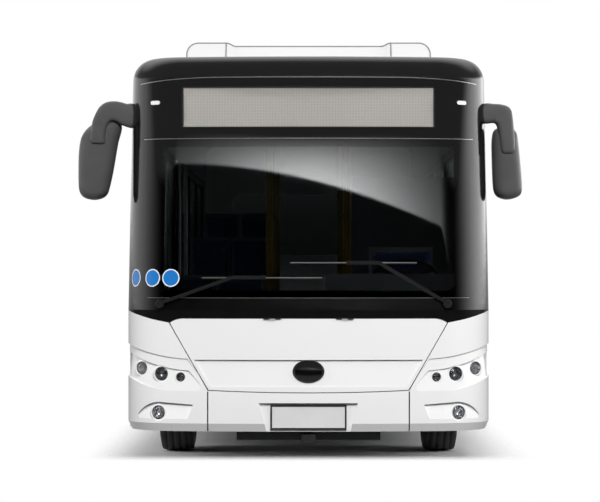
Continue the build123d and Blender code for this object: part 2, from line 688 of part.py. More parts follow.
# Floor with steps, wheel boxes, door sills and the driver's platform
FLOOR_X = HALF - WALL
with BuildPart() as floor:
    with BuildSketch(Plane.YZ):
        with BuildLine():
            Polyline((FLOOR_FRONT_Y, FLOOR_Z), (STEP_Y, FLOOR_Z), (STEP_Y, RAISED_Z), (DECK_Y, RAISED_Z),
                     (DECK_Y, DECK_Z), (REAR_BACK_Y, DECK_Z), (REAR_BACK_Y, DECK_Z - SLAB),
                     (DECK_Y + SLAB, DECK_Z - SLAB), (DECK_Y + SLAB, RAISED_Z - SLAB),
                     (STEP_Y + SLAB, RAISED_Z - SLAB), (STEP_Y + SLAB, FLOOR_Z - SLAB),
                     (FLOOR_FRONT_Y, FLOOR_Z - SLAB), close=True)
        make_face()
    extrude(amount=FLOOR_X, both=True)
    for axle_y, box_x, half, low_z in ((FRONT_AXLE_Y, FRONT_BOX_X, FRONT_BOX_HALF, FLOOR_Z - SLAB),
                                       (REAR_AXLE_Y, REAR_BOX_X, REAR_BOX_HALF, RAISED_Z - SLAB)):
        for s in SIDES:
            with Locations((s * (box_x + FLOOR_X) / 2, axle_y, low_z)):
                Box(FLOOR_X - box_x, 2 * half, BOX_TOP_Z - low_z, align=STANDING)
            with Locations((s * (box_x + BOX_T + FLOOR_X) / 2, axle_y, low_z)):
                Box(FLOOR_X - box_x - BOX_T, 2 * (half - BOX_T), BOX_TOP_Z - BOX_T - low_z,
                    align=STANDING, mode=Mode.SUBTRACT)
    for doorway in DOORWAYS:
        with Locations((-FLOOR_X, doorway.y, FLOOR_Z)):
            Box(WALL, 2 * OPENING_HALF, SLAB, align=(Align.MAX, Align.CENTER, Align.MAX))
    with Locations((CAB_X, CAB_BACK_Y, FLOOR_Z)):
        Box(FLOOR_X - CAB_X, CAB_BACK_Y - FLOOR_FRONT_Y, CAB_STEP_Z - FLOOR_Z,
            align=(Align.MIN, Align.MAX, Align.MIN))

# Chassis: rails under the floor, spring towers, front cross-beam with the towing eye
RAIL_X = 340.0
RAIL_W = 60.0
RAIL_H = 66.0
TOWER = (160.0, 180.0)
TOWER_X = 680.0
TOWER_LOW_Z = 700.0
BEAM_Y = -LENGTH / 2 + 140.0
BEAM_X = 500.0
TOW_R = 21.0
TOW_Y = -LENGTH / 2 + 50.0
TOW_T = 46.0
TOW_LOW_Z = 254.0
with BuildPart() as chassis_frame:
    for s in SIDES:
        for y0, y1, top_z in ((BEAM_Y, FRONT_AXLE_Y - 620, FLOOR_Z - SLAB),
                              (FRONT_AXLE_Y + 620, STEP_Y, FLOOR_Z - SLAB),
                              (STEP_Y + SLAB, REAR_BACK_Y - 100, RAISED_Z - SLAB)):
            with Locations((s * RAIL_X, (y0 + y1) / 2, top_z)):
                Box(RAIL_W, y1 - y0, RAIL_H, align=HANGING)
        with Locations((s * TOWER_X, FRONT_AXLE_Y, TOWER_LOW_Z)):
            Box(TOWER[0], TOWER[1], BOX_TOP_Z - BOX_T - TOWER_LOW_Z, align=STANDING)
    with Locations((0, BEAM_Y, FLOOR_Z - SLAB)):
        Box(2 * BEAM_X, 80, RAIL_H, align=(Align.CENTER, Align.MIN, Align.MAX))
    for y in (FRONT_AXLE_Y - 700, FRONT_AXLE_Y + 700, 0, STEP_Y - 60):
        with Locations((0, y, FLOOR_Z - SLAB)):
            Box(2 * RAIL_X, 60, RAIL_H, align=HANGING)
    for y in (STEP_Y + 200, REAR_AXLE_Y + 800, DECK_Y + 300, REAR_BACK_Y - 200):
        with Locations((0, y, RAISED_Z - SLAB)):
            Box(2 * RAIL_X, 60, RAIL_H, align=HANGING)
    with BuildSketch(Plane.XY.offset(TOW_LOW_Z)):
        with Locations((0, (TOW_Y + BEAM_Y) / 2)):
            Rectangle(100, BEAM_Y - TOW_Y)
        with Locations((0, TOW_Y)):
            Circle(50)
            Circle(TOW_R, mode=Mode.SUBTRACT)
    extrude(amount=TOW_T)
    with Locations((0, TOW_Y, TOW_LOW_Z)):
        Cylinder(TOW_R, 3 * TOW_T, mode=Mode.SUBTRACT)

# Drive motor as one block under the rear deck, hung from the rear rails
with BuildPart() as drive_motor:
    with Locations((0, DECK_Y + 650, RAISED_Z - SLAB - RAIL_H)):
        Box(900, 800, 260, align=HANGING)
    fillet(drive_motor.edges().filter_by(Axis.Y), 60)
    with Locations((0, DECK_Y + 650, RAISED_Z - SLAB - RAIL_H)):
        Box(900, 500, 100, align=HANGING)

# Front axle: dropped beam with kingpin bosses
AXLE_T = 110.0
BOSS_R = 40.0
BOSS_LOW_Z = 405.0
BOSS_TOP_Z = 553.0
with BuildPart() as front_axle:
    with BuildSketch(Plane.XZ.offset(-FRONT_AXLE_Y - AXLE_T / 2)):
        with BuildLine():
            Polyline((0, 205), (610, 205), (780, 405), (KINGPIN_X, 405), (KINGPIN_X, 495), (640, 495),
                     (590, 295), (0, 295), (0, 205))
        make_face()
        mirror(about=Plane.YZ)
    extrude(amount=AXLE_T)
    for s in SIDES:
        with Locations((s * (KINGPIN_X + 60), FRONT_AXLE_Y, TYRE_R)):
            Box(120, 2 * AXLE_T, 2 * AXLE_T, mode=Mode.SUBTRACT)
        with Locations((s * KINGPIN_X, FRONT_AXLE_Y, BOSS_LOW_Z)):
            Cylinder(BOSS_R, BOSS_TOP_Z - BOSS_LOW_Z, align=STANDING)
            Cylinder(KINGPIN_R + KINGPIN_FIT, 3 * (BOSS_TOP_Z - BOSS_LOW_Z), mode=Mode.SUBTRACT)


def knuckle(side):
    """Steering knuckle: two lugs and a kingpin round the axle's boss, and the wheel spindle."""
    lug_t = 42.0
    web_in = BOSS_R + MOVE_GAP
    outwards = (Align.MIN if side > 0 else Align.MAX, Align.CENTER, Align.MIN)
    low_z, top_z = BOSS_LOW_Z - 5 - lug_t, BOSS_TOP_Z + 5 + lug_t
    with BuildPart() as body:
        with Locations((side * (KINGPIN_X + web_in), FRONT_AXLE_Y, low_z)):
            Box(22, 130, top_z - low_z, align=outwards)
        for z in (low_z, top_z - lug_t):
            with Locations((side * KINGPIN_X, FRONT_AXLE_Y, z)):
                Cylinder(web_in + 5, lug_t, align=STANDING)
                Box(web_in, 2 * BOSS_R, lug_t, align=outwards)
        with Locations((side * KINGPIN_X, FRONT_AXLE_Y, low_z)):
            Cylinder(KINGPIN_R, top_z - low_z, align=STANDING)
        web = (side * (KINGPIN_X + web_in), FRONT_AXLE_Y, TYRE_R)
        with BuildSketch(Plane(origin=web, z_dir=(side, 0, 0))):
            Circle(SPINDLE_R)
        extrude(amount=FRONT_TYRE_X + 110 - KINGPIN_X - web_in)
    return body.part


with BuildPart() as knuckle_left:
    add(knuckle(1))
with BuildPart() as knuckle_right:
    add(knuckle(-1))

# Rear drive axle: housing with the final drive, spring carriers and spindles
SPRING_X = 480.0
SPRING_DY = 420.0
SPRING_R = 95.0
CARRIER_TOP_Z = 430.0
with BuildPart() as rear_axle:
    with BuildSketch(Plane(origin=(0, REAR_AXLE_Y, TYRE_R), x_dir=(1, 0, 0), z_dir=(0, 0, 1))):
        with BuildLine():
            ThreePointArc((-220, 85), (0, 190), (220, 85))
            Polyline((220, 85), (850, 85), (850, SPINDLE_R), (1130, SPINDLE_R), (1130, 0), (-1130, 0),
                     (-1130, SPINDLE_R), (-850, SPINDLE_R), (-850, 85), (-220, 85))
        make_face()
    revolve(axis=Axis((0, REAR_AXLE_Y, TYRE_R), (1, 0, 0)))
    for s in SIDES:
        with Locations((s * SPRING_X, REAR_AXLE_Y, CARRIER_TOP_Z)):
            Box(130, 2 * (SPRING_DY + SPRING_R), 90, align=HANGING)
ROLL = 18.0


def bellows(x, y, low_z, top_z, r):
    """Rolled rubber air spring between two seats."""
    rolls = 3
    pitch = (top_z - low_z) / rolls
    with BuildPart() as spring:
        with BuildSketch(Plane(origin=(x, y, low_z), x_dir=(1, 0, 0), z_dir=(0, -1, 0))):
            with BuildLine():
                for k in range(rolls):
                    Polyline((r - ROLL, k * pitch), (r, (k + 0.5) * pitch), (r - ROLL, (k + 1) * pitch))
                Polyline((r - ROLL, rolls * pitch), (0, rolls * pitch), (0, 0), (r - ROLL, 0))
            make_face()
        revolve(axis=Axis((x, y, low_z), (0, 0, 1)))
    return spring.part


with BuildPart() as air_springs:
    for s in SIDES:
        add(bellows(s * TOWER_X, FRONT_AXLE_Y, 495.0, TOWER_LOW_Z, 78.0))
        for dy in (-SPRING_DY, SPRING_DY):
            add(bellows(s * SPRING_X, REAR_AXLE_Y + dy, CARRIER_TOP_Z, RAISED_Z - SLAB, SPRING_R))


def tyre(x, y):
    """Road tyre on an axle along X, smooth tread."""
    plane = Plane(origin=(x, y, TYRE_R), x_dir=(1, 0, 0), z_dir=(0, 0, 1))
    w = TYRE_W / 2
    bulge_r = (RIM_R + TYRE_R) / 2
    with BuildPart() as ring:
        with BuildSketch(plane):
            with BuildLine():
                Polyline((w - TYRE_BEAD, RIM_R), (w, bulge_r), (w - TYRE_SHOULDER, TYRE_R),
                         (TYRE_SHOULDER - w, TYRE_R), (-w, bulge_r), (TYRE_BEAD - w, RIM_R), close=True)
            make_face()
        revolve(axis=Axis(plane.origin, (1, 0, 0)))
    return ring.part


def rim(y, barrels, disc_x, disc_t, hub_x0, hub_x1, side):
    """Wheel: one or two rim barrels on a dished disc with a blind hub bore."""
    plane = Plane(origin=(0, y, TYRE_R), x_dir=(side, 0, 0), z_dir=(0, 0, side))
    axis = Axis(plane.origin, (1, 0, 0))
    with BuildPart() as wheel:
        for x in barrels:
            with BuildSketch(plane):
                with Locations((x, RIM_R - RIM_T / 2)):
                    Rectangle(RIM_W, RIM_T)
                with BuildLine():
                    Polyline((disc_x, 110), (disc_x + disc_t, 110), (x + disc_t / 2, RIM_R - RIM_T),
                             (x - disc_t / 2, RIM_R - RIM_T), close=True)
                make_face()
            revolve(axis=axis)
        with BuildSketch(plane):
            with BuildLine():
                Polyline((hub_x0, HUB_BORE_R), (hub_x0, 120), (disc_x + disc_t, 120), (disc_x + disc_t, 95),
                         (hub_x1, 80), (hub_x1, 0), (hub_x1 - 15, 0), (hub_x1 - 15, HUB_BORE_R), close=True)
            make_face()
        revolve(axis=axis)
    return wheel.part


with BuildPart() as front_left_tyre:
    add(tyre(FRONT_TYRE_X, FRONT_AXLE_Y))
with BuildPart() as front_right_tyre:
    add(tyre(-FRONT_TYRE_X, FRONT_AXLE_Y))
with BuildPart() as rear_left_tyres:
    add(tyre(REAR_OUT_X, REAR_AXLE_Y))
    add(tyre(REAR_IN_X, REAR_AXLE_Y))
with BuildPart() as rear_right_tyres:
    add(tyre(-REAR_OUT_X, REAR_AXLE_Y))
    add(tyre(-REAR_IN_X, REAR_AXLE_Y))
with BuildPart() as front_left_wheel:
    add(rim(FRONT_AXLE_Y, (FRONT_TYRE_X,), FRONT_TYRE_X + 55, 16, FRONT_TYRE_X - 12, FRONT_TYRE_X + 132, 1))
with BuildPart() as front_right_wheel:
    add(rim(FRONT_AXLE_Y, (FRONT_TYRE_X,), FRONT_TYRE_X + 55, 16, FRONT_TYRE_X - 12, FRONT_TYRE_X + 132, -1))
REAR_DISC_X = (REAR_OUT_X + REAR_IN_X) / 2 - 10
with BuildPart() as rear_left_wheel:
    add(rim(REAR_AXLE_Y, (REAR_OUT_X - 40, REAR_IN_X + 40), REAR_DISC_X, 20, 870, 1150, 1))
with BuildPart() as rear_right_wheel:
    add(rim(REAR_AXLE_Y, (REAR_OUT_X - 40, REAR_IN_X + 40), REAR_DISC_X, 20, 870, 1150, -1))


# Doors: each leaf hangs on two arms of a turning post and swings inwards
def leaf_ys(doorway, way):
    """Trailing edge, leading edge, post and pivot of the leaf on one side of a doorway."""
    trail = doorway.y + way * (OPENING_HALF - JAMB_GAP)
    lead = doorway.y + way * MEET_GAP / 2
    post = trail + way * POST_TO_EDGE
    return trail, lead, post, post - way * ARM


def door_post(doorway, way):
    """Turning post with an arm under and an arm over the leaf, each with a pivot pin."""
    trail, lead, post_y, pivot_y = leaf_ys(doorway, way)
    post = Vector(POST_IN - HALF, post_y)
    pivot = Vector(PIVOT_IN - HALF, pivot_y)
    low_z = FLOOR_Z + ARM_LIFT
    high_z = LEAF_TOP_Z + ARM_LIFT
    with BuildPart() as turning:
        with BuildSketch(Plane.XY.offset(FLOOR_Z + 0.5)):
            with Locations((post.X, post.Y)):
                Circle(POST_R)
        extrude(amount=high_z + ARM_T - FLOOR_Z - 0.5)
        for z in (low_z, high_z):
            middle = (post + pivot) / 2 + Vector(0, 0, z)
            with BuildSketch(Plane(origin=middle, x_dir=pivot - post, z_dir=(0, 0, 1))):
                SlotCenterToCenter((pivot - post).length, ARM_W)
            extrude(amount=ARM_T)
        for z, reach in ((low_z + ARM_T, 40.0), (high_z, -40.0)):
            with BuildSketch(Plane.XY.offset(z)):
                with Locations((pivot.X, pivot.Y)):
                    Circle(PIN_R)
            extrude(amount=reach)
    return turning.part


def leaf_opening(doorway, way):
    """Glazed part of a leaf as a prism through it."""
    trail, lead, post_y, pivot_y = leaf_ys(doorway, way)
    low_z, top_z = LEAF_LOW_Z + 1.2 * LEAF_BORDER, LEAF_TOP_Z - 1.2 * LEAF_BORDER
    with BuildPart() as prism:
        with BuildSketch(Plane.YZ.offset(-HALF)):
            with Locations(((trail + lead) / 2, (low_z + top_z) / 2)):
                RectangleRounded(LEAF_W - 2 * LEAF_BORDER, top_z - low_z, LEAF_BORDER)
        extrude(amount=2 * WALL, both=True)
    return prism.part


def door_leaf(doorway, way):
    """Door leaf frame that follows the side of the body, with its pivot holes."""
    trail, lead, post_y, pivot_y = leaf_ys(doorway, way)
    with BuildPart() as leaf:
        profile = side_profile(-1, LEAF_LOW_Z, LEAF_TOP_Z, 0.0, LEAF_T)
        add(along_y(profile, min(trail, lead), max(trail, lead)))
        add(leaf_opening(doorway, way), mode=Mode.SUBTRACT)
        for z, reach in ((LEAF_LOW_Z, 45.0), (LEAF_TOP_Z, -45.0)):
            with BuildSketch(Plane.XY.offset(z)):
                with Locations((PIVOT_IN - HALF, pivot_y)):
                    Circle(PIN_R + PIN_FIT)
            extrude(amount=reach, mode=Mode.SUBTRACT)
    return leaf.part


def leaf_glass(doorway, way):
    """Pane in a leaf, flush with its outside."""
    trail, lead, post_y, pivot_y = leaf_ys(doorway, way)
    with BuildPart() as pane:
        profile = side_profile(-1, LEAF_LOW_Z, LEAF_TOP_Z, 0.0, GLASS)
        add(along_y(profile, min(trail, lead), max(trail, lead)))
        add(leaf_opening(doorway, way), mode=Mode.INTERSECT)
    return pane.part


# Wipers: spindle through the cowl, cranked arm and blade, all in a plane along the raked glass
Wiper = namedtuple("Wiper", "spindle_x elbow joint blade")
WIPERS = (
    Wiper(962.0, (-476.0, 283.0), (-703.0, 284.0), (-1086.0, -217.0)),
    Wiper(-1031.0, (510.0, 183.0), (738.0, 180.0), (297.0, 1124.0)),
)
SPINDLE_Z = 1202.0
WIPER_OUT = 42.0
WIPER_ARM_W = 26.0
WIPER_ARM_T = 14.0
BLADE_W = 16.0
BLADE_T = 26.0
WIPER_PIN_R = 14.0
WIPER_PIN_FIT = 0.4
RAKE = atan(FRONT.rake / (ROOF_Z - WAIST_Z))


def wiper_plane(wiper):
    """Plane of a wiper's sweep with its origin on the spindle."""
    return Plane(origin=(wiper.spindle_x, -LENGTH / 2 - WIPER_OUT, SPINDLE_Z), x_dir=(1, 0, 0),
                 z_dir=(0, -cos(RAKE), sin(RAKE)))


def spindle_reach(wiper):
    """Depth from the sweep plane to the middle of the cowl's wall at the spindle."""
    return front_y(wiper.spindle_x) + LENGTH / 2 + WIPER_OUT + WALL / 2


def bar(start, stop, width):
    """Round-ended bar between two points of the current sketch."""
    run = Vector(*stop) - Vector(*start)
    with Locations(((start[0] + stop[0]) / 2, (start[1] + stop[1]) / 2)):
        SlotCenterToCenter(run.length, width, rotation=degrees(atan(run.Y / run.X)))


def wiper_part(wiper):
    """One wiper at rest."""
    plane = wiper_plane(wiper)
    with BuildPart() as body:
        with BuildSketch(plane) as arm:
            bar((0, 0), wiper.elbow, WIPER_ARM_W)
            bar(wiper.elbow, wiper.joint, WIPER_ARM_W)
            Circle(2 * WIPER_PIN_R)
        extrude(amount=WIPER_ARM_T)
        with BuildSketch(plane):
            with Locations(((wiper.blade[0] + wiper.blade[1]) / 2, wiper.joint[1])):
                RectangleRounded(wiper.blade[1] - wiper.blade[0], BLADE_W, 4)
        extrude(amount=-BLADE_T)
        with BuildSketch(plane):
            Circle(WIPER_PIN_R)
        extrude(amount=-spindle_reach(wiper))
    return body.part


# Outside mirrors: hooked arms on the front pillars, pod-shaped heads, mirror plates at the back
Mirror = namedtuple("Mirror", "side arm head")
MIRRORS = (
    Mirror(-1, ((1200, 2600), (1330, 2636), (1450, 2630), (1505, 2570), (1560, 2450), (1560, 2332),
                (1450, 2332), (1425, 2430), (1200, 2460)),
           ((1345, 2455), (1545, 2470), (1632, 2340), (1636, 1936), (1425, 1936))),
    Mirror(1, ((1200, 2606), (1395, 2614), (1450, 2580), (1462, 2440), (1466, 2264), (1368, 2264),
               (1350, 2430), (1200, 2480)),
           ((1297, 2440), (1460, 2445), (1497, 2330), (1523, 1944), (1318, 1944))),
)
MIRROR_Y = -LENGTH / 2 + 560.0
HEAD_T = 150.0
HEAD_R = 58.0
ARM_R = 24.0
ARM_DEEP = 100.0
ARM_PROUD = 22.0
PLATE_RIM = 24.0
PLATE_SUNK = 10.0
PLATE_THICK = 6.0


def mirror_outline(points, side, r):
    """Front outline of a mirror's piece with rounded corners."""
    with BuildSketch(Plane.XZ) as outline:
        with BuildLine():
            Polyline(*[(side * x, z) for x, z in points], close=True)
        make_face()
        fillet(outline.vertices(), r)
    return outline.sketch


def mirror_head(mirror_data):
    """Pod-shaped head from its front outline, with a recess at the back."""
    outline = mirror_outline(mirror_data.head, mirror_data.side, HEAD_R)
    back = Pos(0, MIRROR_Y + HEAD_T / 2, 0)
    with BuildPart() as head:
        extrude(back * outline, amount=HEAD_T)
        fillet(head.faces().sort_by(Axis.Y)[0].edges(), 45)
        fillet(head.faces().sort_by(Axis.Y)[-1].edges(), 12)
        extrude(back * offset(outline, amount=-PLATE_RIM), amount=PLATE_SUNK, mode=Mode.SUBTRACT)
    return head.part


def mirror_plate(mirror_data):
    """Mirror plate at the bottom of the head's rear recess."""
    outline = mirror_outline(mirror_data.head, mirror_data.side, HEAD_R)
    with BuildPart() as plate:
        bottom = Pos(0, MIRROR_Y + HEAD_T / 2 - PLATE_SUNK, 0)
        extrude(bottom * offset(outline, amount=-PLATE_RIM - 2), amount=-PLATE_THICK)
    return plate.part


def mirror_arm(mirror_data):
    """Hooked arm from the pillar, with a tongue that lies on the front of the head."""
    arm_y = MIRROR_Y - HEAD_T / 2 - ARM_PROUD
    with BuildPart() as arm:
        outline = mirror_outline(mirror_data.arm, mirror_data.side, ARM_R)
        extrude(Pos(0, arm_y + ARM_DEEP, 0) * outline, amount=ARM_DEEP)
        fillet(arm.faces().sort_by(Axis.Y)[0].edges(), 0.6 * ARM_R)
        add(FRONT_OUTER, mode=Mode.SUBTRACT)
        add(mirror_head(mirror_data), mode=Mode.SUBTRACT)
    return arm.part


with BuildPart() as mirror_arms:
    for mirror_data in MIRRORS:
        add(mirror_arm(mirror_data))
with BuildPart() as mirror_heads:
    for mirror_data in MIRRORS:
        add(mirror_head(mirror_data))
with BuildPart() as mirror_plates:
    for mirror_data in MIRRORS:
        add(mirror_plate(mirror_data))

# Roof units: cooling unit in front, battery housing behind, with raised side lobes
POD_X = 950.0
POD_TOP_Z = 3210.0
POD_MID_Z = 3185.0
POD_LOBE_X = 580.0
PODS = ((-LENGTH / 2 + 2050.0, -LENGTH / 2 + 4700.0), (-LENGTH / 2 + 5100.0, LENGTH / 2 - 1700.0))
with BuildPart() as roof_units:
    for y0, y1 in PODS:
        with BuildSketch(Plane.XZ.offset(-y1)):
            with BuildLine() as half:
                Polyline((0, ROOF_Z), (POD_X, ROOF_Z), (POD_X, POD_TOP_Z - 90), (POD_X - 70, POD_TOP_Z),
                         (POD_LOBE_X + 40, POD_TOP_Z), (POD_LOBE_X, POD_MID_Z), (0, POD_MID_Z), (0, ROOF_Z))
            make_face()
            mirror(about=Plane.YZ)
        extrude(amount=y1 - y0)
        for y, turn in ((y0, 1), (y1, -1)):
            with BuildSketch(Plane.YZ):
                with BuildLine():
                    Polyline((y - turn, ROOF_Z + 60), (y - turn, POD_TOP_Z + 1),
                             (y + turn * 150, POD_TOP_Z + 1), (y, ROOF_Z + 60), close=True)
                make_face()
            extrude(amount=2 * POD_X, both=True, mode=Mode.SUBTRACT)

# Cabin: dash, wheel, seats, rails and the screen behind the driver
DASH_TOP_Z = 1330.0
DASH_BACK = 75.0
DASH_SPLIT_X = 120.0
# Driver's dash from the side: distance behind the nose and height
DASH_PROFILE = ((0, CAB_STEP_Z), (600, CAB_STEP_Z), (670, 1100), (770, 1180), (670, DASH_TOP_Z + 80),
                (560, DASH_TOP_Z + 80), (480, DASH_TOP_Z - 60), (0, DASH_TOP_Z - 80))
with BuildPart() as dashboard:
    with BuildSketch(Plane.YZ.offset(DASH_SPLIT_X)):
        with BuildLine():
            Polyline(*[(back - LENGTH / 2, z) for back, z in DASH_PROFILE], close=True)
        make_face()
    extrude(amount=HALF)
    with Locations((DASH_SPLIT_X, DASH_PROFILE[5][0] - LENGTH / 2, FLOOR_Z)):
        Box(HALF, 600, 820, align=(Align.MAX, Align.MAX, Align.MIN))
    add(cap_hull(FRONT, WALL + DASH_BACK, SKIRT_Z), mode=Mode.INTERSECT)

WHEEL_X = 700.0
STEER_PLANE = Plane(origin=(WHEEL_X, -LENGTH / 2 + 870, 1390), x_dir=(1, 0, 0), z_dir=(0, 0.5, 0.87))
with BuildPart() as steering_wheel:
    with BuildSketch(Plane(origin=STEER_PLANE.origin, x_dir=STEER_PLANE.x_dir, z_dir=-STEER_PLANE.y_dir)):
        with Locations((230, 0)):
            Circle(17)
    revolve(axis=Axis(STEER_PLANE.origin, STEER_PLANE.z_dir))
    with BuildSketch(STEER_PLANE.offset(-12)):
        Circle(70)
        with PolarLocations(0, 3, start_angle=90):
            with Locations((120, 0)):
                Rectangle(220, 40)
    extrude(amount=20)
    with BuildSketch(STEER_PLANE):
        Circle(32)
    extrude(amount=-400)
    add(dashboard.part, mode=Mode.SUBTRACT)

SEAT_W = 830.0
SEAT_X = 790.0
Row = namedtuple("Row", "side y floor_z")
LOW_ROW_Y = FRONT_AXLE_Y + 1050.0
ROW_PITCH = 820.0
DOOR_ROW_Y = DOORWAYS[1].y - OPENING_HALF - 482.0
ROWS = [Row(1, LOW_ROW_Y + k * ROW_PITCH, FLOOR_Z) for k in range(5)]
ROWS += [Row(-1, y, FLOOR_Z) for y in (LOW_ROW_Y, LOW_ROW_Y + ROW_PITCH, DOOR_ROW_Y)]
for s in SIDES:
    ROWS += [Row(s, STEP_Y + 290.0, RAISED_Z), Row(s, DECK_Y - 750.0, RAISED_Z)]
    ROWS += [Row(s, DECK_Y + 700.0, DECK_Z)]


def seat(x, y, floor_z, width):
    """Bench on a pedestal, facing forwards."""
    with BuildPart() as bench:
        with BuildSketch(Plane.YZ.offset(x - width / 2)):
            with BuildLine():
                Polyline((y - 220, floor_z + 400), (y + 190, floor_z + 380), (y + 285, floor_z + 1010),
                         (y + 225, floor_z + 1020), (y + 150, floor_z + 470), (y - 220, floor_z + 480),
                         close=True)
            make_face()
        extrude(amount=width)
        with Locations((x, y, floor_z)):
            Box(0.4 * width, 220, 410, align=STANDING)
    return bench.part


with BuildPart() as seats:
    for row in ROWS:
        add(seat(row.side * SEAT_X, row.y, row.floor_z, SEAT_W))
    add(seat(WHEEL_X, -LENGTH / 2 + 1440, CAB_STEP_Z, 500))

RAIL_Y0 = FRONT_AXLE_Y + 650.0
HAND_X = 335.0
HAND_R = 17.0
HAND_Z = 1950.0
POLES = ((RAIL_Y0, FLOOR_Z), (RAIL_Y0 + 1650.0, FLOOR_Z), (STEP_Y - 100.0, FLOOR_Z),
         (REAR_AXLE_Y + 450.0, RAISED_Z), (DECK_Y - 100.0, RAISED_Z))
with BuildPart() as handrails:
    for s in SIDES:
        for y, floor_z in POLES:
            with Locations((s * HAND_X, y, floor_z)):
                Cylinder(HAND_R, ROOF_Z - WALL - floor_z, align=STANDING)
        with BuildSketch(Plane.XZ.offset(-POLES[-1][0])):
            with Locations((s * HAND_X, HAND_Z)):
                Circle(HAND_R - 3)
        extrude(amount=POLES[-1][0] - RAIL_Y0)

with BuildPart() as cab_screen:
    with Locations((CAB_X, CAB_BACK_Y, CAB_STEP_Z)):
        Box(HALF - WALL - CAB_X, 30, 1550, align=(Align.MIN, Align.MAX, Align.MIN))
    with Locations((CAB_X, CAB_BACK_Y - 30, CAB_STEP_Z)):
        Box(30, 700, 850, align=(Align.MIN, Align.MAX, Align.MIN))

# Mask with its sign shelf, flap hinges and spindle bores
with BuildPart() as front_mask:
    add(mask_ring.part)
    add(sign_shelf.part)
    add(hinge_rod(FLAP_HINGE, HINGE_NOTCH_R, -BARREL / 2 - 1, BARREL / 2 + 1), mode=Mode.SUBTRACT)
    add(fixed_hinge(FLAP_HINGE))
    for wiper in WIPERS:
        with BuildSketch(wiper_plane(wiper)):
            Circle(WIPER_PIN_R + WIPER_PIN_FIT)
        extrude(amount=-2 * spindle_reach(wiper), mode=Mode.SUBTRACT)

with BuildPart() as wiper_left:
    add(wiper_part(WIPERS[0]))
with BuildPart() as wiper_right:
    add(wiper_part(WIPERS[1]))
with BuildPart() as front_door_post_a:
    add(door_post(DOORWAYS[0], -1))
with BuildPart() as front_door_post_b:
    add(door_post(DOORWAYS[0], 1))
with BuildPart() as middle_door_post_a:
    add(door_post(DOORWAYS[1], -1))
with BuildPart() as middle_door_post_b:
    add(door_post(DOORWAYS[1], 1))
with BuildPart() as front_door_leaf_a:
    add(door_leaf(DOORWAYS[0], -1))
with BuildPart() as front_door_leaf_b:
    add(door_leaf(DOORWAYS[0], 1))
with BuildPart() as middle_door_leaf_a:
    add(door_leaf(DOORWAYS[1], -1))
with BuildPart() as middle_door_leaf_b:
    add(door_leaf(DOORWAYS[1], 1))
with BuildPart() as front_door_glass_a:
    add(leaf_glass(DOORWAYS[0], -1))
with BuildPart() as front_door_glass_b:
    add(leaf_glass(DOORWAYS[0], 1))
with BuildPart() as middle_door_glass_a:
    add(leaf_glass(DOORWAYS[1], -1))
with BuildPart() as middle_door_glass_b:
    add(leaf_glass(DOORWAYS[1], 1))

PIECES = {
    "floor": floor, "left_side": left_side, "right_side": right_side, "left_window_band": left_window_band,
    "right_window_band": right_window_band, "roof": roof, "rear_wall": rear_wall, "front_mask": front_mask,
    "windscreen": windscreen, "corner_panels": corner_panels, "front_bumper": front_bumper,
    "sign_board": sign_board, "front_lamps": front_lamps, "rear_lamps": rear_lamps,
    "plate_carrier": plate_carrier, "mirror_arms": mirror_arms, "mirror_heads": mirror_heads,
    "mirror_plates": mirror_plates, "side_windows": side_windows, "rear_window": rear_window,
    "roof_units": roof_units, "front_axle": front_axle, "rear_axle": rear_axle,
    "chassis_frame": chassis_frame, "drive_motor": drive_motor, "air_springs": air_springs, "seats": seats,
    "dashboard": dashboard, "steering_wheel": steering_wheel, "handrails": handrails,
    "cab_screen": cab_screen, "front_flap": front_flap, "rear_lid": rear_lid, "wiper_left": wiper_left,
    "wiper_right": wiper_right, "knuckle_left": knuckle_left, "knuckle_right": knuckle_right,
    "front_left_tyre": front_left_tyre, "front_right_tyre": front_right_tyre,
    "rear_left_tyres": rear_left_tyres, "rear_right_tyres": rear_right_tyres,
    "front_left_wheel": front_left_wheel, "front_right_wheel": front_right_wheel,
    "rear_left_wheel": rear_left_wheel, "rear_right_wheel": rear_right_wheel,
    "front_door_post_a": front_door_post_a, "front_door_post_b": front_door_post_b,
    "middle_door_post_a": middle_door_post_a, "middle_door_post_b": middle_door_post_b,
    "front_door_leaf_a": front_door_leaf_a, "front_door_leaf_b": front_door_leaf_b,
    "middle_door_leaf_a": middle_door_leaf_a, "middle_door_leaf_b": middle_door_leaf_b,
    "front_door_glass_a": front_door_glass_a, "front_door_glass_b": front_door_glass_b,
    "middle_door_glass_a": middle_door_glass_a, "middle_door_glass_b": middle_door_glass_b,
}
for name, piece in PIECES.items():
    piece.part.label = name
    export_step(piece.part, f"parts/{name}.step")
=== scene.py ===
from math import asin, copysign, cos, pi, radians, sin, sqrt

import bmesh
import bpy
from mathutils import Matrix, Vector
from mathutils.bvhtree import BVHTree


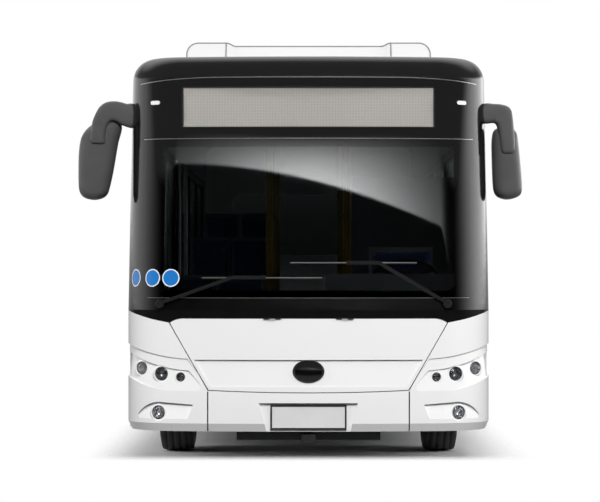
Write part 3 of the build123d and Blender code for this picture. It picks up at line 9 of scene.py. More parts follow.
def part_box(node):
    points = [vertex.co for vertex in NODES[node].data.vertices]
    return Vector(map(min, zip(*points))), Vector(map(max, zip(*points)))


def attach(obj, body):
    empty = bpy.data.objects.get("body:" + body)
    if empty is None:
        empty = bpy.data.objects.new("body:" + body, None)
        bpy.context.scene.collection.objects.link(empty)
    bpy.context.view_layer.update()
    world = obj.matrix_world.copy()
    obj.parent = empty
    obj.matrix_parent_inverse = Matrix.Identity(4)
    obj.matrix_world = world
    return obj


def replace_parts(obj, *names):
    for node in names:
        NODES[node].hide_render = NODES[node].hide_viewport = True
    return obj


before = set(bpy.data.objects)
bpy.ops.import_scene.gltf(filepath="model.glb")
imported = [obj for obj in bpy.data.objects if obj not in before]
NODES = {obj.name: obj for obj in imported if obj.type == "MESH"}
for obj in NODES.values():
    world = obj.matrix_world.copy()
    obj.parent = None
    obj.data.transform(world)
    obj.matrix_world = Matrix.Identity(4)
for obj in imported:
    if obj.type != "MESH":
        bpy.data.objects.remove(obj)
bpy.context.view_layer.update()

# Looks of a low-floor city bus. Metres; the nose points along -Y and +X is the driver's side.

BODY = "bus_body"
SIDES = (-1, 1)
UP, TO_BACK = Vector((0, 0, 1)), Vector((0, 1, 0))

# Sizes read from the frame
BODY_LOW, BODY_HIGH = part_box("left_side")
HALF, SKIRT_Z, WAIST_Z = BODY_HIGH.x, BODY_LOW.z, BODY_HIGH.z
NOSE_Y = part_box("front_bumper")[0].y
TAIL_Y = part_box("rear_window")[1].y
ROOF_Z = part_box("roof")[1].z
TYRE_LOW, TYRE_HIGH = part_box("front_left_tyre")
TYRE_R = (TYRE_HIGH.z - TYRE_LOW.z) / 2
TYRE_W = TYRE_HIGH.x - TYRE_LOW.x
FRONT_AXLE_Y = (TYRE_LOW.y + TYRE_HIGH.y) / 2
REAR_AXLE_Y = sum(corner.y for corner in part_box("rear_left_tyres")) / 2


# Mesh and object helpers
STRIP_TOP = 0.8  # share of a strip's width that its face keeps


def mesh_of(name, shape):
    """Plain mesh of a bmesh, with its doubles merged and its faces turned outwards."""
    bmesh.ops.remove_doubles(shape, verts=shape.verts, dist=1e-6)
    bmesh.ops.recalc_face_normals(shape, faces=shape.faces)
    mesh = bpy.data.meshes.new(name)
    shape.to_mesh(mesh)
    shape.free()
    return mesh


def finished(name, shape, material, body=BODY, smooth=True):
    """Piece at the origin, from a bmesh or a mesh that is already in place, riding on a body."""
    mesh = mesh_of(name, shape) if isinstance(shape, bmesh.types.BMesh) else shape
    mesh.materials.clear()
    mesh.materials.append(material)
    for face in mesh.polygons:
        face.use_smooth = smooth
    piece = bpy.data.objects.new(name, mesh)
    bpy.context.scene.collection.objects.link(piece)
    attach(piece, body)
    return piece


def surface_of(*names):
    """Search tree over the surfaces of some nodes."""
    points, faces = [], []
    for name in names:
        mesh = NODES[name].data
        start = len(points)
        points.extend(vertex.co.copy() for vertex in mesh.vertices)
        faces.extend([start + index for index in face.vertices] for face in mesh.polygons)
    return BVHTree.FromPolygons(points, faces)


def front_hit(skin, x, z):
    """Point and outward normal where a line from before the nose first meets a skin."""
    return skin.ray_cast(Vector((x, NOSE_Y - 1, z)), TO_BACK)[:2]


def islands(name):
    """Lowest and highest corner of each separate solid of a node."""
    shape = bmesh.new()
    shape.from_mesh(NODES[name].data)
    bmesh.ops.remove_doubles(shape, verts=shape.verts, dist=1e-5)
    shape.verts.ensure_lookup_table()
    seen, boxes = set(), []
    for start in shape.verts:
        if start in seen:
            continue
        seen.add(start)
        stack, group = [start], []
        while stack:
            vertex = stack.pop()
            group.append(vertex.co.copy())
            for edge in vertex.link_edges:
                other = edge.other_vert(vertex)
                if other not in seen:
                    seen.add(other)
                    stack.append(other)
        low = Vector([min(point[axis] for point in group) for axis in range(3)])
        high = Vector([max(point[axis] for point in group) for axis in range(3)])
        boxes.append((low, high))
    shape.free()
    return boxes


def bridge(shape, rings, capped=True):
    """Joins rings of equally many vertices by quads, with a face over either end."""
    for first, second in zip(rings, rings[1:]):
        for corner in range(len(first)):
            following = (corner + 1) % len(first)
            shape.faces.new((first[corner], first[following], second[following], second[corner]))
    if capped:
        shape.faces.new(rings[0])
        shape.faces.new(rings[-1])


def close_grids(shape, grid, across, up):
    """Closes two layers of vertices, keyed by (layer, column, row), into one solid."""
    for i in range(across):
        for j in range(up):
            for layer in (0, 1):
                corners = ((i, j), (i + 1, j), (i + 1, j + 1), (i, j + 1))
                shape.faces.new([grid[layer, *corner] for corner in corners])
    rim = [(i, 0) for i in range(across)] + [(across, j) for j in range(up)]
    rim += [(i, up) for i in range(across, 0, -1)] + [(0, j) for j in range(up, 0, -1)]
    for here, following in zip(rim, rim[1:] + rim[:1]):
        shape.faces.new((grid[0, *here], grid[0, *following], grid[1, *following], grid[1, *here]))


def add_turned(shape, profile, place, segments):
    """Adds a profile of (radius, height) points turned about the local Z axis of a place."""
    turns = [2 * pi * step / segments for step in range(segments)]
    rings = []
    for radius, height in profile:
        spots = [Vector((radius * cos(turn), radius * sin(turn), height)) for turn in turns]
        rings.append([shape.verts.new(place @ spot) for spot in (spots if radius else spots[:1])])
    for below, above in zip(rings, rings[1:]):
        for step in range(segments):
            following = (step + 1) % segments
            corners = [below[step % len(below)], below[following % len(below)],
                       above[following % len(above)], above[step % len(above)]]
            corners = list(dict.fromkeys(corners))
            if len(corners) > 2:
                shape.faces.new(corners)


def add_block(shape, low, high, bevel=0.0):
    """Adds a box between two corners, its edges rounded by a bevel."""
    middle = (Vector(low) + Vector(high)) / 2
    size = Vector(high) - Vector(low)
    place = Matrix.Translation(middle) @ Matrix.Diagonal((*size, 1.0))
    made = bmesh.ops.create_cube(shape, size=1.0, matrix=place)
    if bevel:
        edges = list({edge for vertex in made["verts"] for edge in vertex.link_edges})
        bmesh.ops.bevel(shape, geom=edges, offset=bevel, segments=2, affect="EDGES", profile=0.6)


def add_strip(shape, path, outward, width, proud, sunk=0.002):
    """Adds a flat strip along a path, its face proud along outward: a vector or a function of the point."""
    rings = []
    for index, point in enumerate(path):
        ahead = path[min(index + 1, len(path) - 1)] - path[max(index - 1, 0)]
        out = (outward(point) if callable(outward) else outward).normalized()
        across = ahead.cross(out).normalized() * width / 2
        corners = (point + across - out * sunk, point + across * STRIP_TOP + out * proud,
                   point - across * STRIP_TOP + out * proud, point - across - out * sunk)
        rings.append([shape.verts.new(corner) for corner in corners])
    bridge(shape, rings)


def facing(point, out):
    """Place at a point with its local Z along out and its local Y as near to up as can be."""
    out = out.normalized()
    side = UP.cross(out).normalized()
    turn = Matrix((side, out.cross(side), out)).transposed().to_4x4()
    return Matrix.Translation(point) @ turn


# Node helpers
def link(tree, *pairs):
    """Links each pair of an output and an input."""
    for output, socket in pairs:
        tree.links.new(output, socket)


def feed(tree, socket, value):
    """Gives an input another node's output or a plain value."""
    if isinstance(value, bpy.types.NodeSocket):
        tree.links.new(value, socket)
    else:
        socket.default_value = value


def new_node(tree, kind, **values):
    """Node with plain values or outputs on its inputs; underscores stand for spaces."""
    node = tree.nodes.new(kind)
    for label, value in values.items():
        feed(tree, node.inputs[label.replace("_", " ")], value)
    return node


def add_inputs(tree, inputs):
    """Adds named inputs of a tree, typed by their values; returns label to identifier."""
    found = {}
    for label, value in inputs.items():
        size = len(value) if isinstance(value, tuple) else type(value)
        kind = {int: "Int", float: "Float", 3: "Vector", 4: "Color"}[size]
        item = tree.interface.new_socket(name=label, in_out="INPUT", socket_type=f"NodeSocket{kind}")
        item.default_value = value
        found[label] = item.identifier
    return found


def maths(tree, operation, *values, clamp=False):
    """Math node fed by sockets or plain numbers; returns its output."""
    node = tree.nodes.new("ShaderNodeMath")
    node.operation = operation
    node.use_clamp = clamp
    for socket, value in zip(node.inputs, values):
        feed(tree, socket, value)
    return node.outputs[0]


def times(tree, *values):
    """Product of some sockets and plain numbers."""
    product = values[0]
    for value in values[1:]:
        product = maths(tree, "MULTIPLY", product, value)
    return product


# Geometry node trees for what repeats
def start_tree(name, inputs):
    """Modifier tree with a material among its inputs: tree, identifiers of the inputs and their sockets."""
    tree = bpy.data.node_groups.new(name, "GeometryNodeTree")
    tree.is_modifier = True
    labels = add_inputs(tree, inputs)
    item = tree.interface.new_socket(name="Material", in_out="INPUT", socket_type="NodeSocketMaterial")
    labels["Material"] = item.identifier
    return tree, labels, tree.nodes.new("NodeGroupInput").outputs


def close_tree(tree, source, points, form):
    """Ends a tree: the form on every point, made real and given the material of the group's input."""
    place = new_node(tree, "GeometryNodeInstanceOnPoints",
                     Points=points.outputs["Mesh"], Instance=form.outputs["Mesh"])
    realize = new_node(tree, "GeometryNodeRealizeInstances", Geometry=place.outputs["Instances"])
    paint = new_node(tree, "GeometryNodeSetMaterial",
                     Geometry=realize.outputs["Geometry"], Material=source["Material"])
    tree.interface.new_socket(name="Geometry", in_out="OUTPUT", socket_type="NodeSocketGeometry")
    new_node(tree, "NodeGroupOutput", Geometry=paint.outputs["Geometry"])


def point_row(tree, source):
    """Points in a row along X from the Count and Pitch inputs."""
    step = new_node(tree, "ShaderNodeCombineXYZ", X=source["Pitch"])
    return new_node(tree, "GeometryNodeMeshLine", Count=source["Count"], Offset=step.outputs["Vector"])


def tapered(tree, radius, height, corners, taper):
    """Upright prism of some corners, narrower at the top."""
    return new_node(tree, "GeometryNodeMeshCone", Vertices=corners, Depth=height,
                    Radius_Bottom=radius, Radius_Top=times(tree, radius, taper))


def nut_ring_tree():
    """Hexagon nuts round a pitch circle about Z."""
    tree, labels, source = start_tree(
        "Nut ring", {"Count": 10, "Pitch radius": 0.16, "Nut radius": 0.018, "Nut height": 0.03})
    circle = new_node(tree, "GeometryNodeMeshCircle",
                      Vertices=source["Count"], Radius=source["Pitch radius"])
    nut = tapered(tree, source["Nut radius"], source["Nut height"], corners=6, taper=0.82)
    nut.inputs["Side Segments"].default_value = 2
    close_tree(tree, source, circle, nut)
    return tree, labels


def slat_row_tree():
    """Slats in a row along X."""
    tree, labels, source = start_tree(
        "Slat row", {"Count": 12, "Pitch": 0.05, "Slat size": (0.03, 0.5, 0.01)})
    slat = new_node(tree, "GeometryNodeMeshCube", Size=source["Slat size"])
    close_tree(tree, source, point_row(tree, source), slat)
    return tree, labels


def bolt_row_tree():
    """Round-headed bolts in a row along X, standing up along Z."""
    tree, labels, source = start_tree(
        "Bolt row", {"Count": 8, "Pitch": 0.2, "Head radius": 0.012, "Head height": 0.008})
    head = tapered(tree, source["Head radius"], source["Head height"], corners=12, taper=0.7)
    close_tree(tree, source, point_row(tree, source), head)
    return tree, labels


def grown(tree_and_labels, values, material, place):
    """Plain mesh grown by a tree with the given input values, moved to its place."""
    tree, labels = tree_and_labels
    seed = bpy.data.objects.new("seed", bpy.data.meshes.new("seed"))
    bpy.context.scene.collection.objects.link(seed)
    modifier = seed.modifiers.new("Grow", "NODES")
    modifier.node_group = tree
    for label, value in values.items():
        modifier[labels[label]] = value
    modifier[labels["Material"]] = material
    bpy.context.view_layer.update()
    evaluated = seed.evaluated_get(bpy.context.evaluated_depsgraph_get())
    mesh = bpy.data.meshes.new_from_object(evaluated)
    bpy.data.objects.remove(seed)
    mesh.transform(place)
    return mesh


def joined(name, meshes):
    """One mesh from several."""
    shape = bmesh.new()
    for mesh in meshes:
        shape.from_mesh(mesh)
        bpy.data.meshes.remove(mesh)
    whole = bpy.data.meshes.new(name)
    shape.to_mesh(whole)
    shape.free()
    return whole


# Shader groups shared by several finishes
def shader_group(name, inputs, outputs):
    """Empty shader group with named sockets: the group, its inputs' sockets and its outputs' sockets."""
    group = bpy.data.node_groups.new(name, "ShaderNodeTree")
    add_inputs(group, inputs)
    for label, kind in outputs.items():
        group.interface.new_socket(name=label, in_out="OUTPUT", socket_type=f"NodeSocket{kind}")
    return group, group.nodes.new("NodeGroupInput").outputs, group.nodes.new("NodeGroupOutput").inputs


def own_place(tree):
    """Surface point in the object's own coordinates."""
    return tree.nodes.new("ShaderNodeTexCoord").outputs["Object"]


def axes_of(tree, vector):
    """X, Y and Z of a vector."""
    split = new_node(tree, "ShaderNodeSeparateXYZ", Vector=vector)
    return [split.outputs[axis] for axis in "XYZ"]


def noise(tree, scale, detail):
    """Noise over the object's own coordinates."""
    node = new_node(tree, "ShaderNodeTexNoise", Vector=own_place(tree), Scale=scale, Detail=detail)
    return node.outputs["Fac"]


def ramped(tree, value, low, high):
    """Value eased from 0 at low to 1 at high."""
    node = tree.nodes.new("ShaderNodeMapRange")
    node.interpolation_type = "SMOOTHSTEP"
    for label, given in (("Value", value), ("From Min", low), ("From Max", high)):
        feed(tree, node.inputs[label], given)
    return node.outputs["Result"]


def mixed(tree, mask, first, second):
    """Colour that goes from first to second with a mask."""
    mix = tree.nodes.new("ShaderNodeMix")
    mix.data_type = "RGBA"
    for label, value in (("Factor", mask), ("A", first), ("B", second)):
        feed(tree, mix.inputs[label], (*value, 1.0) if isinstance(value, tuple) else value)
    return mix.outputs["Result"]


def grain_group():
    """Cloudy value over the surface."""
    group, source, out = shader_group("Grain", {"Scale": 40.0, "Detail": 4.0}, {"Value": "Float"})
    link(group, (noise(group, source["Scale"], source["Detail"]), out["Value"]))
    return group


def road_film_group():
    """Film of road dirt that fades out above a height."""
    group, source, out = shader_group(
        "Road film",
        {"Clean": (1.0, 1.0, 1.0, 1.0), "Film": (0.3, 0.28, 0.25, 1.0), "Top": 0.7, "Amount": 0.3},
        {"Color": "Color", "Mask": "Float"})
    height = maths(group, "DIVIDE", axes_of(group, own_place(group))[2], source["Top"])
    fade = maths(group, "SUBTRACT", 1.0, height, clamp=True)
    mask = times(group, fade, noise(group, 6.0, 6.0), source["Amount"])
    link(group, (mixed(group, mask, source["Clean"], source["Film"]), out["Color"]), (mask, out["Mask"]))
    return group


def window_mask_group():
    """1 inside an upright window |x| < half, low < z < high, with soft edges."""
    group, source, out = shader_group(
        "Window mask", {"Half": 1.0, "Low": 1.0, "High": 2.0, "Soft": 0.02}, {"Mask": "Float"})
    x, _, z = axes_of(group, own_place(group))
    limits = ((source["Half"], maths(group, "ABSOLUTE", x)), (z, source["Low"]), (source["High"], z))
    inside = [maths(group, "DIVIDE", maths(group, "SUBTRACT", more, less), source["Soft"], clamp=True)
              for more, less in limits]
    link(group, (times(group, *inside), out["Mask"]))
    return group


def dot_grid_group():
    """Round dots on a square grid over X and Z."""
    group, source, out = shader_group("Dot grid", {"Pitch": 0.01, "Radius": 0.3}, {"Mask": "Float"})
    x, _, z = axes_of(group, own_place(group))
    spans = []
    for axis in (x, z):
        cell = maths(group, "FRACT", maths(group, "DIVIDE", axis, source["Pitch"]))
        off_middle = maths(group, "ABSOLUTE", maths(group, "SUBTRACT", cell, 0.5))
        spans.append(maths(group, "POWER", off_middle, 2.0))
    far = maths(group, "SQRT", maths(group, "ADD", *spans))
    link(group, (maths(group, "LESS_THAN", far, source["Radius"]), out["Mask"]))
    return group


GRAIN = grain_group()
ROAD_FILM = road_film_group()
WINDOW_MASK = window_mask_group()
DOT_GRID = dot_grid_group()


# Material helpers
def grey(level):
    return (level, level, level)


JET = grey(0.004)
PEEL_SCALE, PEEL_DETAIL = 150.0, 2.0


def start_material(name, **values):
    """Node material with values on its Principled shader; underscores stand for spaces."""
    material = bpy.data.materials.new(name)
    material.use_nodes = True
    shader = material.node_tree.nodes["Principled BSDF"]
    for label, value in values.items():
        shader.inputs[label.replace("_", " ")].default_value = value
    return material, material.node_tree, shader


def use_group(tree, group, **values):
    """Outputs of a shader group placed in a material with its own values."""
    node = tree.nodes.new("ShaderNodeGroup")
    node.node_tree = group
    for label, value in values.items():
        node.inputs[label].default_value = value
    return node.outputs


def grain(tree, scale, detail):
    """Value of the grain group at a scale."""
    return use_group(tree, GRAIN, Scale=scale, Detail=detail)["Value"]


def dress(tree, shader, tone, rough, bump=None):
    """Gives a shader its tone, roughness as (value, low, high) and bump as (height, strength, distance)."""
    value, low, high = rough
    spread = new_node(tree, "ShaderNodeMapRange", Value=value, To_Min=low, To_Max=high)
    link(tree, (tone, shader.inputs["Base Color"]), (spread.outputs["Result"], shader.inputs["Roughness"]))
    if bump:
        height, strength, distance = bump
        relief = new_node(tree, "ShaderNodeBump", Height=height, Strength=strength, Distance=distance)
        link(tree, (relief.outputs["Normal"], shader.inputs["Normal"]))


# Finishes
def body_paint(name, colour, film_amount, shade_above=None):
    """Gloss paint with a faint orange peel and a road film near the ground, and painted shade: black above
    a joint.
    """
    material, tree, shader = start_material(name, Specular_IOR_Level=0.4, Coat_Weight=0.2,
                                            Coat_Roughness=0.08)
    film = use_group(tree, ROAD_FILM, Clean=(*colour, 1.0), Film=(0.32, 0.3, 0.27, 1.0),
                     Top=0.62, Amount=film_amount)
    tone = film["Color"]
    if shade_above:
        # Painted shade: black above the given height
        joint = ramped(tree, axes_of(tree, own_place(tree))[2], shade_above, shade_above + 0.001)
        tone = mixed(tree, joint, tone, JET)
    peel = grain(tree, PEEL_SCALE, PEEL_DETAIL)
    dress(tree, shader, tone, (film["Mask"], 0.22, 0.6), (peel, 0.04, 0.002))
    return material


def black_gloss():
    """Black body paint round the glass."""
    material, tree, shader = start_material("black_gloss")
    cloud, peel = grain(tree, 9.0, 5.0), grain(tree, PEEL_SCALE, PEEL_DETAIL)
    dress(tree, shader, mixed(tree, cloud, grey(0.002), JET), (cloud, 0.09, 0.16), (peel, 0.02, 0.002))
    return material


def moulded(name, dark, light, rough, scale=320.0, strength=0.25):
    """Moulded plastic or rubber with a leathery grain."""
    material, tree, shader = start_material(name)
    cloud, leather = grain(tree, 7.0, 4.0), grain(tree, scale, 3.0)
    dress(tree, shader, mixed(tree, cloud, dark, light), (cloud, rough - 0.06, rough + 0.08),
          (leather, strength, 0.001))
    return material


def metal(name, dark, light, rough, metallic=1.0, scale=60.0):
    """Bare or painted metal with a cloudy tone."""
    material, tree, shader = start_material(name, Metallic=metallic)
    cloud = grain(tree, scale, 6.0)
    dress(tree, shader, mixed(tree, cloud, dark, light), (cloud, rough - 0.05, rough + 0.1),
          (cloud, 0.08, 0.002))
    return material


def smoked_glass(name, tint, fields=()):
    """Smoked glass; fields of (half width, low, high, tint) in it have a tint of their own."""
    material, tree, shader = start_material(name, Transmission_Weight=1.0, IOR=1.52)
    smear = grain(tree, 5.0, 5.0)
    tone = mixed(tree, smear, tuple(0.92 * part for part in tint), tint)
    for half, low, high, shade in fields:
        inside = use_group(tree, WINDOW_MASK, Half=half, Low=low, High=high, Soft=0.012)["Mask"]
        tone = mixed(tree, inside, tone, shade)
    dress(tree, shader, tone, (smear, 0.0, 0.02))
    return material


def clear_lens():
    """Clear lamp cover with a faint moulded ripple."""
    material, tree, shader = start_material("clear_lens", Transmission_Weight=1.0, IOR=1.49)
    ripple = grain(tree, 45.0, 1.0)
    dress(tree, shader, mixed(tree, ripple, (0.93, 0.95, 0.98), grey(1.0)), (ripple, 0.0, 0.03))
    return material


def lamp_plastic(name, dark, light):
    """Coloured lamp lens with a prism grid."""
    material, tree, shader = start_material(name, Coat_Weight=1.0)
    prisms = use_group(tree, DOT_GRID, Pitch=0.012, Radius=0.38)["Mask"]
    dress(tree, shader, mixed(tree, prisms, dark, light), (prisms, 0.1, 0.18), (prisms, 0.3, 0.002))
    return material


def sign_panel():
    """Blank matrix sign: warm grey dots on a darker ground, with a faint painted glow in place of the light
    that the glass before it keeps out.
    """
    material, tree, shader = start_material("sign_panel", Emission_Strength=0.68)
    dots = use_group(tree, DOT_GRID, Pitch=0.0105, Radius=0.42)["Mask"]
    tone = mixed(tree, dots, (0.24, 0.23, 0.215), (0.38, 0.365, 0.345))
    # Painted glow: the dots' tone shines faintly
    link(tree, (tone, shader.inputs["Emission Color"]))
    dress(tree, shader, tone, (dots, 0.5, 0.7))
    return material


def seat_cloth():
    """Hard-wearing plush with a woven fleck."""
    material, tree, shader = start_material("seat_cloth", Sheen_Weight=0.3)
    where = own_place(tree)
    weave = []
    for direction in "XZ":
        wave = new_node(tree, "ShaderNodeTexWave", Vector=where, Scale=160.0, Distortion=1.5)
        wave.bands_direction = direction
        weave.append(wave.outputs["Fac"])
    threads = times(tree, *weave)
    fleck = new_node(tree, "ShaderNodeTexVoronoi", Vector=where, Scale=28.0)
    spots = maths(tree, "LESS_THAN", fleck.outputs["Distance"], 0.2)
    cloth = mixed(tree, threads, (0.025, 0.05, 0.14), (0.05, 0.1, 0.24))
    dress(tree, shader, mixed(tree, spots, cloth, (0.16, 0.2, 0.3)), (threads, 0.8, 0.95),
          (threads, 0.4, 0.001))
    return material


def floor_vinyl():
    """Speckled safety vinyl."""
    material, tree, shader = start_material("floor_vinyl")
    speck, wear = grain(tree, 220.0, 1.0), grain(tree, 2.0, 5.0)
    base = mixed(tree, ramped(tree, speck, 0.56, 0.62), (0.15, 0.16, 0.18), (0.4, 0.41, 0.43))
    worn = mixed(tree, ramped(tree, wear, 0.5, 0.8), base, (0.2, 0.2, 0.21))
    dress(tree, shader, worn, (wear, 0.45, 0.65), (speck, 0.15, 0.001))
    return material


def tyre_rubber():
    """Tyre rubber with a road film."""
    material, tree, shader = start_material("tyre_rubber")
    film = use_group(tree, ROAD_FILM, Clean=(0.016, 0.016, 0.017, 1.0), Film=(0.12, 0.11, 0.1, 1.0),
                     Top=0.5, Amount=0.35)
    cloud, fine = grain(tree, 14.0, 6.0), grain(tree, 400.0, 2.0)
    dress(tree, shader, film["Color"], (cloud, 0.6, 0.85), (fine, 0.3, 0.001))
    return material


def sticker_vinyl():
    """Blank round sticker: blue field with a white rim, read from the disc's own map."""
    material, tree, shader = start_material("sticker_vinyl")
    length = tree.nodes.new("ShaderNodeVectorMath")
    length.operation = "LENGTH"
    link(tree, (tree.nodes.new("ShaderNodeTexCoord").outputs["UV"], length.inputs[0]))
    rim = ramped(tree, length.outputs["Value"], 0.86, 0.9)
    ink = grain(tree, 90.0, 2.0)
    field = mixed(tree, ink, (0.01, 0.16, 0.5), (0.015, 0.2, 0.58))
    dress(tree, shader, mixed(tree, rim, field, (0.85, 0.87, 0.9)), (ink, 0.2, 0.3))
    return material


# Fields of the screen's glass in its black print: the view and the sign, as (half width, low, high, tint)
VIEW_FIELD = (1.02, 1.29, 2.3, (0.3, 0.32, 0.33))
SIGN_FIELD = (0.885, 2.425, 2.718, (0.93, 0.93, 0.92))
COWL_JOINT_Z = 1.1

WHITE = body_paint("white_gloss", grey(0.86), 0.25)
# The flap's white, with painted shade above the cowl joint that darkens its hinge barrels in the seam
FLAP_WHITE = body_paint("flap_white", grey(0.86), 0.25, shade_above=COWL_JOINT_Z)
# Painted shade: the roof units wear the body's white paint darkened, so that they stand apart from the
# white round them
POD_SHADED_WHITE = body_paint("pod_shaded_white", grey(0.68), 0.0)
RAIL_YELLOW = body_paint("rail_yellow", (0.34, 0.2, 0.01), 0.0)
BLACK = black_gloss()
SCREEN_GLASS = smoked_glass("screen_glass", JET, (VIEW_FIELD, SIGN_FIELD))
SIDE_GLASS = smoked_glass("side_glass", (0.16, 0.175, 0.175))
REAR_GLASS = smoked_glass("rear_glass", (0.02, 0.022, 0.022))
LENS = clear_lens()
CHROME = metal("lamp_chrome", (0.75, 0.76, 0.78), (0.85, 0.86, 0.88), 0.12, metallic=0.6)
SMOKED_CHROME = metal("smoked_chrome", (0.2, 0.21, 0.23), (0.34, 0.35, 0.37), 0.12)
# Satin aluminium for the metal parts, and painted highlight on the wiper blades and pane joints
SATIN_AND_SHEEN = metal("satin_aluminium_and_sheen", (0.55, 0.56, 0.57), (0.68, 0.69, 0.7), 0.32)
# Near-black chassis paint, darkened further as painted shade for the parts under the bus
STEEL_AND_SHADE = metal("chassis_steel_and_shade", (0.012, 0.012, 0.013), (0.03, 0.03, 0.031), 0.5, metallic=0.3, scale=12.0)
CASTING = metal("motor_casting", (0.22, 0.23, 0.24), (0.36, 0.37, 0.38), 0.45, metallic=0.7, scale=20.0)
WHEEL_PAINT = metal("wheel_silver", (0.42, 0.43, 0.45), (0.56, 0.57, 0.59), 0.36, metallic=0.6, scale=25.0)
MIRROR_GLASS = metal("mirror_silver", (0.82, 0.83, 0.84), (0.86, 0.87, 0.88), 0.06)
# Silver-grey plate, made paler as painted light against the shade of its recess
PLATE_SILVER_AND_LIGHT = moulded("plate_silver_and_light", (0.66, 0.66, 0.665), (0.74, 0.74, 0.745), 0.4, strength=0.04)
SEAM_GREY = moulded("seam_grey", grey(0.2), grey(0.25), 0.5, strength=0.1)
# Dark grey mirror plastic, made lighter as painted sheen
MIRROR_SHELL_AND_SHEEN = moulded("mirror_shell_and_sheen", (0.062, 0.062, 0.063), (0.092, 0.092, 0.093), 0.36, strength=0.1)
PLASTIC = moulded("black_plastic", (0.012, 0.012, 0.013), (0.022, 0.022, 0.023), 0.42)
DASH = moulded("dash_grey", (0.07, 0.07, 0.075), (0.11, 0.11, 0.115), 0.55)
SHELL_GREY = moulded("seat_shell", (0.16, 0.17, 0.19), (0.22, 0.23, 0.25), 0.4)
WIPER_BLACK = moulded("wiper_black", grey(0.003), grey(0.006), 0.5, strength=0.1)
# Dark rubber for lips, skirt joints and drip rails, and painted shade in the bumper grooves
RUBBER_AND_SHADE = moulded("seal_rubber_and_groove_shade", grey(0.008), grey(0.018), 0.6, scale=180.0)
BELLOWS = moulded("bellows_rubber", grey(0.012), grey(0.024), 0.7, scale=120.0)
TYRE = tyre_rubber()
CLOTH = seat_cloth()
VINYL = floor_vinyl()
SIGN = sign_panel()
RED_LENS = lamp_plastic("red_lens", (0.3, 0.006, 0.006), (0.5, 0.012, 0.012))
AMBER_LENS = lamp_plastic("amber_lens", (0.55, 0.17, 0.005), (0.75, 0.28, 0.01))
WHITE_LENS = lamp_plastic("white_lens", (0.7, 0.72, 0.74), (0.9, 0.92, 0.94))
STICKER = sticker_vinyl()

# Finish of every node that no piece replaces
NODE_FINISH = (
    (WHITE, "left_side right_side roof rear_wall corner_panels front_bumper rear_lid"),
    (FLAP_WHITE, "front_flap"), (RAIL_YELLOW, "handrails"),
    (BLACK, "left_window_band right_window_band front_mask"),
    (SIDE_GLASS, "side_windows"), (REAR_GLASS, "rear_window"),
    (SIGN, "sign_board"), (RED_LENS, "rear_lamps"), (SATIN_AND_SHEEN, "plate_carrier"),
    (STEEL_AND_SHADE, "front_axle rear_axle chassis_frame knuckle_left knuckle_right"),
    (CASTING, "drive_motor"), (BELLOWS, "air_springs"),
    (WHEEL_PAINT, "front_left_wheel front_right_wheel rear_left_wheel rear_right_wheel"),
    (VINYL, "floor"), (DASH, "dashboard cab_screen"), (PLASTIC, "steering_wheel"),
) + tuple((finish, " ".join(f"{door}_door_{part}_{leaf}" for door in ("front", "middle") for leaf in "ab"))
          for finish, part in ((SATIN_AND_SHEEN, "post"), (BLACK, "leaf"), (SIDE_GLASS, "glass")))
for finish, node_names in NODE_FINISH:
    for node_name in node_names.split():
        NODES[node_name].data.materials.clear()
        NODES[node_name].data.materials.append(finish)

# Front lamps: (distance from the middle, height, radius, turn outwards in degrees)
FRONT_LAMPS = ((1.162, 0.751, 0.045, 24.0), (1.020, 0.716, 0.048, 12.0), (0.886, 0.695, 0.032, 8.0),
               (1.041, 0.447, 0.048, 14.0))
DARK_LAMPS = (1, 2)
# What each lamp is made of: (piece, segments, profile of (share of the radius, height))
LAMP_FORMS = (
    ("collars", 48, ((1.0, -0.03), (1.0, 0.002), (1.06, 0.006), (1.2, 0.004), (1.3, -0.003), (1.34, -0.014),
                     (1.34, -0.03))),
    ("bezels", 40, ((1.0, -0.05), (1.0, -0.006), (0.94, -0.002), (0.82, -0.012), (0.8, -0.03))),
    ("bowls", 14, ((0.81, -0.014), (0.74, -0.03), (0.52, -0.043), (0.0, -0.048))),
    ("eyes", 32, ((0.36, -0.046), (0.36, -0.024), (0.3, -0.018), (0.2, -0.013), (0.0, -0.011))),
    ("covers", 40, ((0.93, -0.006), (0.8, 0.0), (0.5, 0.003), (0.0, 0.004))),
    ("covers", 40, ((0.93, -0.008), (0.8, -0.002), (0.5, 0.001), (0.0, 0.002))),
)
LAMP_LOOKS = {"collars": (WHITE, "white_paint"), "bezels": (PLASTIC, "black_plastic"),
              "bowls": (CHROME, "satin_metal"), "dark_bowls": (SMOKED_CHROME, "satin_metal"),
              "eyes": (LENS, "clear_lamp"), "covers": (LENS, "clear_lamp")}


def front_lamps():
    """White collar, black bezel, faceted bowl, projector eye and clear cover in each drum."""
    drums = surface_of("front_lamps")
    shapes = {name: bmesh.new() for name in LAMP_LOOKS}
    for index, (x, z, lamp_r, degrees) in enumerate(FRONT_LAMPS):
        for side in SIDES:
            turn = radians(degrees)
            place = facing(front_hit(drums, side * x, z)[0], Vector((side * sin(turn), -cos(turn), 0)))
            for name, segments, profile in LAMP_FORMS:
                dark = "dark_" if name == "bowls" and index in DARK_LAMPS else ""
                sized = [(share * lamp_r, height) for share, height in profile]
                add_turned(shapes[dark + name], sized, place, segments)
    for name, (finish, slot) in LAMP_LOOKS.items():
        piece = finished(f"lamp_{name}", shapes[name], finish, smooth="bowls" not in name)
    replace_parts(piece, "front_lamps")


front_lamps()

# Marker lamps on the sign glass
FRONT_SKIN = surface_of("windscreen", "front_mask", "corner_panels", "front_flap", "front_bumper")
MARKER_X, MARKER_Z, MARKER_SIZE, MARKER_ROUND = 1.07, 2.606, Vector((0.076, 0.028, 0.010)), 0.0135


def on_front(x, z):
    """Point and outward normal of the front's skin."""
    return front_hit(FRONT_SKIN, x, z)


